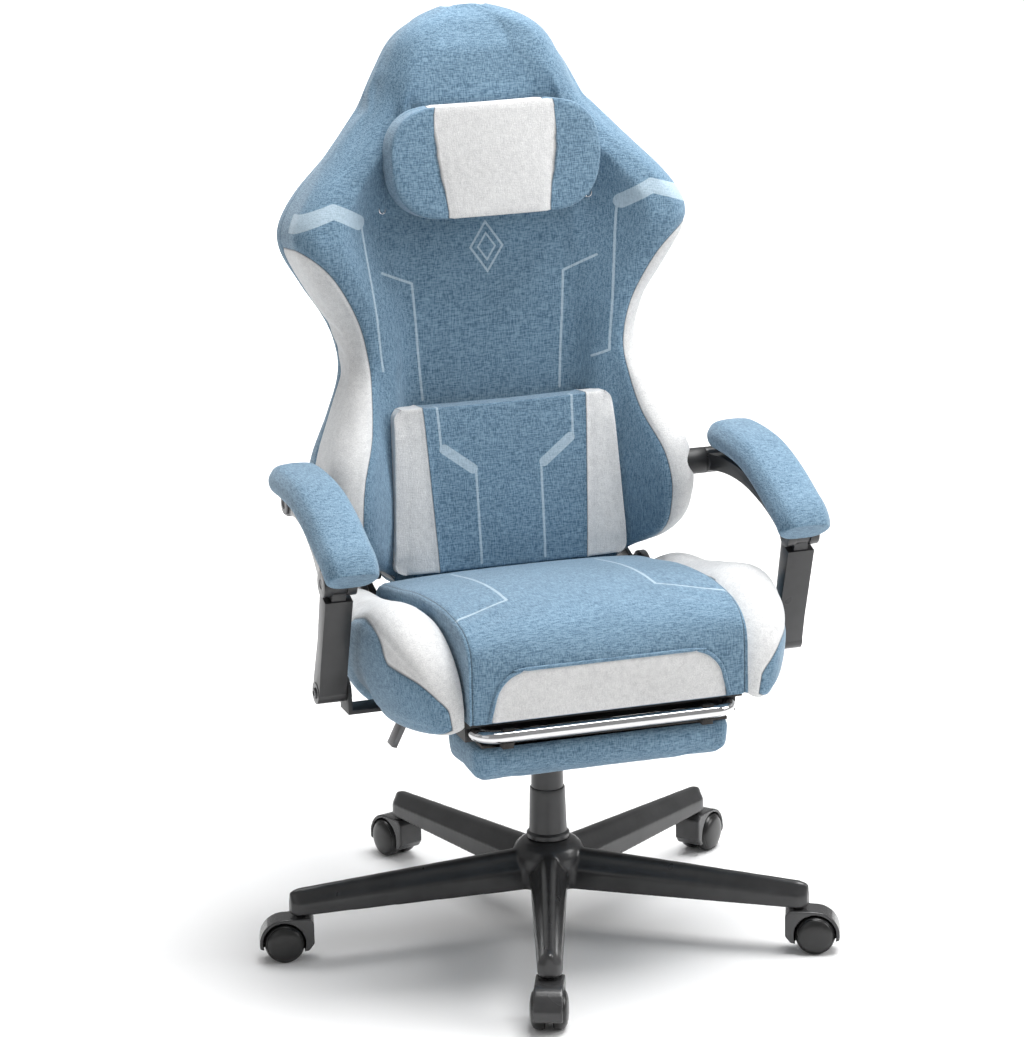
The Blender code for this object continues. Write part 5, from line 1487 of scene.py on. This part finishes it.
# Arms -----------------------------------------------------------------------------------------
@dataclass
class Armrest:
    """One armrest: a plump pad on a dark link, with its strut and pivots."""

    side: int
    label: str
    centre_x: float = 0.2937
    half: float = 0.0355
    thick: float = 0.0350
    soft: float = 0.0165
    crown: float = 0.0045
    line: Points = (
        (0.0965, 0.5815),
        (0.088, 0.5835),
        (0.045, 0.5845),
        (-0.005, 0.5810),
        (-0.058, 0.5660),
        (-0.102, 0.5475),
        (-0.127, 0.5375),
        (-0.1385, 0.5235),
    )
    knuckle: tuple[float, float] = (-0.112, 0.524)
    foot: tuple[float, float] = (-0.062, 0.370)
    rear: tuple[float, float] = (0.115, 0.566)
    strut_x: float = 0.302

    def place(self, cube: Vector) -> Vector:
        """Where a point of the pad goes."""
        count = len(self.line) - 1
        along = (1 - math.cos(math.pi * (cube.y + 1) / 2)) / 2
        at = (1 - along) * count
        rows = [(k, *self.line[k]) for k in range(count + 1)]
        y, z = between(rows, at, 1), between(rows, at, 2)
        ahead = (between(rows, min(at + 0.05, count), 1) - between(rows, max(at - 0.05, 0), 1))
        lift = (between(rows, min(at + 0.05, count), 2) - between(rows, max(at - 0.05, 0), 2))
        length = math.hypot(ahead, lift) or 1.0
        normal_y, normal_z = lift / length, -ahead / length
        end = math.sqrt(max(1 - abs(cube.y) ** 5.0, 0.0)) * 0.62 + 0.38
        narrow = (0.80 + 0.20 * math.sqrt(max(1 - max(cube.y, 0.0) ** 4, 0.0))) * end
        half_z = self.thick / 2
        flat = rounded(Vector((cube.x, 0.0, cube.z)), Vector((self.half, self.soft, half_z)), self.soft)
        crown = self.crown * (1 - cube.x**2) * max(cube.z, 0.0)
        height = half_z + (flat.z * (0.70 + 0.30 * end)) + crown - half_z * 0.30 * (1 - end)
        x = self.centre_x + flat.x * narrow
        return LAYOUT.seat(self.side * x, y + normal_y * height, z + normal_z * height)

    def build(self, finishes: Finishes) -> None:
        """Builds and dresses the pad, the link, the strut and the pivot caps."""
        pad = dress_block(
            f"arm_pad_{self.label}_cover",
            (16, 52, 10),
            self.place,
            lambda cube, point: (point.x, point.y),
            lambda cube: 1.0,
        )
        puff(pad, 0.003, 3.0)
        cloth = finishes.blue
        finish_piece(pad, f"arm_{self.label}", cloth, Slot.BLUE, (f"arm_pad_{self.label}",))
        link = refined(f"arm_{self.label}", f"arm_{self.label}_link", 0.0022)
        finish_piece(link, f"arm_{self.label}", finishes.nylon, Slot.NYLON, (f"arm_{self.label}",))
        strut = refined(f"strut_{self.label}", f"strut_{self.label}_bar", 0.0022)
        finish_piece(strut, f"strut_{self.label}", finishes.nylon, Slot.NYLON, (f"strut_{self.label}",))
        self.add_caps(finishes)

    def add_caps(self, finishes: Finishes) -> None:
        """Adds the domed pivot caps at the strut's two ends and the arm's rear end."""
        dome = ((0.0098, 0.0), (0.0098, 0.0012), (0.0088, 0.0022), (0.0060, 0.0030), (0.0030, 0.0033))
        bolt = ((0.0070, 0.0), (0.0070, 0.0022), (0.0062, 0.0030), (0.0036, 0.0030), (0.0034, 0.0012))
        lug = ((0.0150, 0.0), (0.0150, 0.0030), (0.0138, 0.0042), (0.0072, 0.0044), (0.0066, 0.0030))
        zinc, nylon = (finishes.zinc, Slot.ZINC), (finishes.nylon, Slot.NYLON)
        beside_bore, on_pin = 0.009, 0.003
        self.add_cap("rear_lug", f"arm_{self.label}", lug, self.rear, beside_bore, *zinc)
        self.add_cap("upper_cap", f"strut_{self.label}", dome, self.knuckle, on_pin, *nylon)
        self.add_cap("lower_bolt", f"strut_{self.label}", bolt, self.foot, beside_bore, *zinc)

    def add_cap(
        self,
        name: str,
        body: str,
        profile: Points,
        spot: tuple[float, float],
        reach: float,
        finish: bpy.types.Material,
        slot: Slot,
    ) -> None:
        """Adds one turned cap to the outer face of a body's bar, felt for a little way off the pivot."""
        bar = bpy.data.objects[f"{body}_link" if body.startswith("arm") else f"{body}_bar"]
        bpy.context.view_layer.update()
        centre = LAYOUT.seat(self.side * self.strut_x, *spot)
        start = Vector((self.side, centre.y, centre.z + reach))
        hit, touch, _, _ = bar.ray_cast(start, Vector((-self.side, 0, 0)))
        face = touch.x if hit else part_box(body)[(self.side + 1) // 2].x
        LOG.info("the outer face of %s at its %s is at x %.4f", body, name, face)
        cap = turned(f"{body}_{name}", profile, Vector((0, 0, 0)), 40)
        place = Vector((face - self.side * 0.0008, centre.y, centre.z))
        cap.matrix_world = Matrix.Translation(place) @ Matrix.Rotation(self.side * math.pi / 2, 4, "Y")
        settle(cap)
        face_outwards(cap)
        finish_piece(cap, body, finish, slot)


# Base -----------------------------------------------------------------------------------------
@dataclass
class StarBase:
    """The five-armed moulded base: arms with a rounded ridge, run into a domed hub."""

    grain: float = 0.0022
    bottom: float = 0.0607
    reach: float = 0.3440
    root: tuple[float, float] = (0.0245, 0.1125)
    tip: tuple[float, float] = (0.0150, 0.0925)
    hub: Points = (
        (0.0430, 0.0607),
        (0.0470, 0.0680),
        (0.0478, 0.0900),
        (0.0465, 0.1030),
        (0.0420, 0.1130),
        (0.0350, 0.1190),
        (0.0285, 0.1215),
        (0.0225, 0.1215),
    )

    def arm(self, heading: float) -> Piece:
        """One arm, from the hub's axis to its tip."""
        ahead = Vector((math.cos(heading), math.sin(heading), 0.0))
        aside = Vector((-ahead.y, ahead.x, 0.0))

        def place(cube: Vector) -> Vector:
            """Where a point of the arm goes."""
            share = (cube.x + 1) / 2
            half = self.root[0] + (self.tip[0] - self.root[0]) * share
            top = self.root[1] + (self.tip[1] - self.root[1]) * share
            up = (cube.z + 1) / 2
            ridge = 1 - 0.36 * eased((up - 0.50) / 0.26)
            crown = math.sqrt(max(1 - (abs(cube.y) ** 3.0) * eased((up - 0.70) / 0.30) * 0.55, 0.0))
            out = self.reach * share
            from_end = (self.reach - out) / 0.016
            close = math.sqrt(max(1 - max(1 - from_end, 0.0) ** 2 * 0.80, 0.0))
            height = self.bottom + (top - self.bottom) * up * crown * (0.78 + 0.22 * close)
            point = LAYOUT.column + ahead * out + aside * (half * ridge * cube.y * close)
            point.z = height
            return point

        piece = block("arm", (110, 13, 17))
        mould(piece, place)
        return piece

    def build(self, finishes: Finishes) -> None:
        """Builds and dresses the base."""
        parts = [turned("hub", self.hub, LAYOUT.column, 72)]
        for number in range(1, 6):
            stem = Vector(joint(f"castor_swivel_{number}")["pos_m"]) - LAYOUT.column
            parts.append(self.arm(math.atan2(stem.y, stem.x)))
        piece = joined("star_base_moulding", parts)
        apply_modifier(piece, "REMESH", mode="VOXEL", voxel_size=self.grain)
        apply_modifier(piece, "SMOOTH", factor=0.6, iterations=5)
        shade(piece)
        finish_piece(piece, "base", finishes.nylon, Slot.NYLON, ("star_base",))


@dataclass
class Column:
    """The gas lift: chromed rod, cylinder and three telescoping covers."""

    steps: int = 72

    def build(self, finishes: Finishes) -> None:
        """Builds and dresses the covers, the rod and the cylinder."""
        bore_middle, bore_lower, bore_upper = 0.0192, 0.0213, 0.0170
        self.sleeve("cover_lower", "base", bore_lower, 0.0275, 0.0229, True, finishes)
        self.sleeve("cover_middle", "cover_middle", bore_middle, 0.0208, 0.0206, False, finishes)
        self.sleeve("cover_upper", "mechanism", bore_upper, 0.0188, 0.0188, False, finishes)
        rod = refined("piston_rod", "piston_rod_plated", 0.0006)
        finish_piece(rod, "piston", finishes.chrome, Slot.CHROME, ("piston_rod",))
        cylinder = refined("gas_cylinder", "gas_cylinder_tube", 0.0006)
        finish_piece(cylinder, "base", finishes.steel, Slot.BLACK_STEEL, ("gas_cylinder",))

    def sleeve(
        self, node: str, body: str, bore: float, foot: float, top: float, flange: bool, finishes: Finishes
    ) -> None:
        """Builds one cover: a tapered sleeve with a rolled rim and, at the bottom, a flange."""
        low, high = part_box(node)
        rise = high.z - low.z
        profile = [(bore, 0.0)]
        if flange:
            profile += [(foot - 0.0008, 0.0), (foot, 0.0010), (foot, 0.0062), (foot - 0.0012, 0.0076)]
            profile += [(foot - 0.0030, 0.0090), (foot - 0.0034, 0.0130)]
        else:
            profile += [(foot - 0.0006, 0.0), (foot, 0.0008)]
        profile += [(top, rise - 0.0070), (top - 0.0002, rise - 0.0020), (top - 0.0008, rise - 0.0004)]
        profile += [(top - 0.0016, rise), (bore, rise)]
        foot_centre = Vector((LAYOUT.column.x, LAYOUT.column.y, low.z))
        piece = turned(f"{node}_sleeve", profile, foot_centre, self.steps)
        finish_piece(piece, body, finishes.nylon, Slot.NYLON, (node,))


@dataclass
class Castors:
    """Five twin-wheel castors: soft-edged hoods, and one wheel that is copied to all ten places."""

    count: int = 5
    wheel_radius: float = 0.0253
    wheel_thick: float = 0.0172

    def build(self, finishes: Finishes) -> None:
        """Builds and dresses every castor."""
        for number in range(1, self.count + 1):
            hood = self.hood(number)
            finish_piece(hood, f"castor_{number}", finishes.hood, Slot.GLOSS, (f"castor_hood_{number}",))
            axle = refined(f"castor_axle_{number}", f"castor_axle_{number}_pin", 0.0004)
            finish_piece(axle, f"castor_{number}", finishes.zinc, Slot.ZINC, (f"castor_axle_{number}",))
        pattern = self.wheel()
        for number in range(1, self.count + 1):
            for hand in ("l", "r"):
                self.set_wheel(pattern, number, hand, finishes)
        bpy.data.objects.remove(pattern)

    @staticmethod
    def hood(number: int) -> Piece:
        """A castor's hood with soft moulded edges."""
        piece = refined(f"castor_hood_{number}", f"castor_hood_{number}_moulding", 0.0)
        apply_modifier(piece, "REMESH", mode="VOXEL", voxel_size=0.0011)
        apply_modifier(piece, "SMOOTH", factor=0.6, iterations=9)
        shade(piece)
        return piece

    def wheel(self) -> Piece:
        """One domed wheel about the Z axis, its outer side up."""
        radius, half = self.wheel_radius, self.wheel_thick / 2
        profile = (
            (0.0085, -half + 0.0016),
            (0.0085, -half),
            (radius - 0.0022, -half),
            (radius - 0.0007, -half + 0.0008),
            (radius, -half + 0.0026),
            (radius, half - 0.0080),
            (radius - 0.0007, half - 0.0052),
            (radius - 0.0022, half - 0.0030),
            (radius - 0.0030, half - 0.0034),
            (radius - 0.0038, half - 0.0020),
            (radius - 0.0070, half - 0.0004),
            (radius - 0.0115, half + 0.0007),
            (radius - 0.0170, half + 0.0014),
            (0.0035, half + 0.0016),
        )
        return turned("wheel_pattern", profile, Vector((0, 0, 0)), 64)

    @staticmethod
    def set_wheel(pattern: Piece, number: int, hand: str, finishes: Finishes) -> None:
        """Copies the wheel to its place, outer side away from its castor's middle."""
        node = f"castor_wheel_{hand}_{number}"
        axle = middle(f"castor_axle_{number}")
        out = middle(node) - axle
        out.z = 0.0
        take(pattern)
        bpy.ops.object.duplicate()
        piece = name_piece(f"castor_wheel_{hand}_{number}_tyre")
        turn = Vector((0, 0, 1)).rotation_difference(out.normalized()).to_matrix().to_4x4()
        piece.matrix_world = Matrix.Translation(middle(node)) @ turn
        settle(piece)
        finish_piece(piece, f"wheel_{hand}_{number}", finishes.wheel, Slot.GLOSS, (node,))


# Under the seat -------------------------------------------------------------------------------
@dataclass
class FootrestBar:
    """The footrest's chromed tube: one bow across the front and a leg along each rail."""

    radius: float = 0.0079
    reach: float = 0.165
    front: float = -0.240
    rear: float = 0.055
    height: float = 0.346
    bend: float = 0.026

    def build(self, finishes: Finishes) -> None:
        """Builds and dresses the tube."""
        path = [LAYOUT.seat(-self.reach, self.rear - 0.295 * step / 24, self.height) for step in range(22)]
        path = [point for point in path if point.y > LAYOUT.column.y + self.front + self.bend]
        for step in range(13):
            turn = math.radians(90 * step / 12)
            across = -self.reach + self.bend * (1 - math.cos(turn))
            ahead = self.front + self.bend * (1 - math.sin(turn))
            path.append(LAYOUT.seat(across, ahead, self.height))
        mirrored = [Vector((2 * LAYOUT.column.x - point.x, point.y, point.z)) for point in reversed(path)]
        tube = ribbon("footrest_tube_plated", path + mirrored, self.radius, False, 10)
        finish_piece(tube, "footrest_frame", finishes.chrome, Slot.CHROME, ("footrest_tube",))


@dataclass
class Hardware:
    """The rest of the solids, with rounded edges and their own finishes."""

    plan: dict[str, tuple[str, Slot, float]] = field(
        default_factory=lambda: {
            "mechanism_housing": ("mechanism", Slot.BLACK_STEEL, 0.0030),
            "tilt_pin": ("mechanism", Slot.ZINC, 0.0006),
            "tension_knob": ("tension_knob", Slot.NYLON, 0.0014),
            "lift_lever": ("lift_lever", Slot.ZINC, 0.0008),
            "tilt_plate": ("seat", Slot.BLACK_STEEL, 0.0010),
            "seat_pan": ("seat", Slot.PLYWOOD, 0.0008),
            "footrest_rail_left": ("seat", Slot.BLACK_STEEL, 0.0008),
            "footrest_rail_right": ("seat", Slot.BLACK_STEEL, 0.0008),
            "recline_bracket_left": ("seat", Slot.BLACK_STEEL, 0.0010),
            "recline_bracket_right": ("seat", Slot.BLACK_STEEL, 0.0010),
            "recline_cover_left": ("seat", Slot.NYLON, 0.0022),
            "recline_cover_right": ("seat", Slot.NYLON, 0.0022),
            "strut_bracket_left": ("seat", Slot.BLACK_STEEL, 0.0010),
            "strut_bracket_right": ("seat", Slot.BLACK_STEEL, 0.0010),
            "footrest_board": ("footrest", Slot.PLYWOOD, 0.0010),
            "recline_lever": ("recline_lever", Slot.NYLON, 0.0012),
            "back_frame": ("backrest", Slot.BLACK_STEEL, 0.0008),
            "arm_mount_left": ("backrest", Slot.BLACK_STEEL, 0.0010),
            "arm_mount_right": ("backrest", Slot.BLACK_STEEL, 0.0010),
        }
    )

    def build(self, finishes: Finishes) -> None:
        """Builds and dresses each of them."""
        for node, (body, slot, edge) in self.plan.items():
            piece = refined(node, f"{node}_finished", edge)
            finish_piece(piece, body, finishes.of_slot(slot), slot, (node,))


# Studio ---------------------------------------------------------------------------------------
@dataclass
class Studio:
    """A pale floor, soft light and the camera."""

    stand: tuple[float, float, float] = (-1.7289, -5.1650, 2.0634)
    lens: float = 156.22
    yaw: float = 18.10
    pitch: float = 15.58
    roll: float = -1.07
    shift: tuple[float, float] = (0.0, 0.0)
    floor_size: float = 80.0

    def build(self) -> None:
        """Sets the whole studio up."""
        self.lay_floor()
        self.hang_lights()
        self.set_camera()
        bpy.context.scene.view_settings.view_transform = "Standard"

    def lay_floor(self) -> None:
        """Lays a wide, flat, pale floor, with nothing standing on it but the chair."""
        deselect()
        bpy.ops.mesh.primitive_plane_add(size=self.floor_size)
        floor = name_piece("studio_floor")
        recipe = Recipe("studio_paper")
        recipe.plain(Base_Color=(0.97, 0.97, 0.97, 1.0), Roughness=0.9)
        floor.data.materials.append(recipe.material)

    def hang_lights(self) -> None:
        """Lights the room evenly and hangs soft lights over, beside and behind the chair."""
        world = bpy.data.worlds.new("studio_room")
        bpy.context.scene.world = world
        world.use_nodes = True
        world.node_tree.nodes["Background"].inputs["Color"].default_value = (1.0, 1.0, 1.0, 1.0)
        world.node_tree.nodes["Background"].inputs["Strength"].default_value = 0.36
        self.light("over", (0.8, -0.1, 3.3), (0.0, 0.0, 0.6), 2.0, 125.0)
        self.light("right", (3.2, -1.4, 2.2), (0.0, 0.0, 0.6), 1.6, 52.0)
        self.light("left", (-3.2, -2.4, 1.8), (0.0, 0.0, 0.6), 2.0, 6.0)
        self.light("behind", (0.0, 2.3, 4.2), (0.0, 4.8, 0.6), 3.0, 150.0)
        self.light("far_floor", (0.0, 4.5, 4.0), (0.0, 9.5, 0.0), 3.0, 400.0)

    @staticmethod
    def light(
        name: str, spot: tuple[float, ...], target: tuple[float, ...], size: float, power: float
    ) -> None:
        """Hangs one square soft light that faces a point."""
        lamp = bpy.data.lights.new(name, "AREA")
        lamp.energy = power
        lamp.size = size
        holder = bpy.data.objects.new(name, lamp)
        bpy.context.scene.collection.objects.link(holder)
        holder.location = spot
        holder.rotation_euler = (Vector(target) - Vector(spot)).to_track_quat("-Z", "Y").to_euler()

    def set_camera(self) -> None:
        """Stands the camera at its place."""
        data = bpy.data.cameras.new("camera")
        data.lens = self.lens
        data.sensor_width = 36.0
        data.shift_x, data.shift_y = self.shift
        camera = bpy.data.objects.new("camera", data)
        bpy.context.scene.collection.objects.link(camera)
        look = Matrix.Rotation(math.radians(-self.yaw), 4, "Z")
        look = look @ Matrix.Rotation(math.radians(90 - self.pitch), 4, "X")
        look = look @ Matrix.Rotation(math.radians(self.roll), 4, "Z")
        camera.matrix_world = Matrix.Translation(LAYOUT.seat(*self.stand)) @ look
        bpy.context.scene.camera = camera


def main() -> None:
    """Builds the chair's visible pieces in order, then the studio."""
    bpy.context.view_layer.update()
    finishes = Finishes()
    StarBase().build(finishes)
    Column().build(finishes)
    Castors().build(finishes)
    Hardware().build(finishes)
    FootrestBar().build(finishes)
    FootPad().build(finishes)
    SeatCushion().build(finishes)
    for side, label in SIDES:
        SeatBolster(side, label).build(finishes)
    shell = BackShell()
    shell.build(finishes)
    head_pillow().build(finishes)
    lumbar_pillow().build(finishes)
    PillowStraps().build(finishes, shell)
    for side, label in SIDES:
        Armrest(side, label).build(finishes)
    Studio().build()


if __name__ == "__main__":
    main()
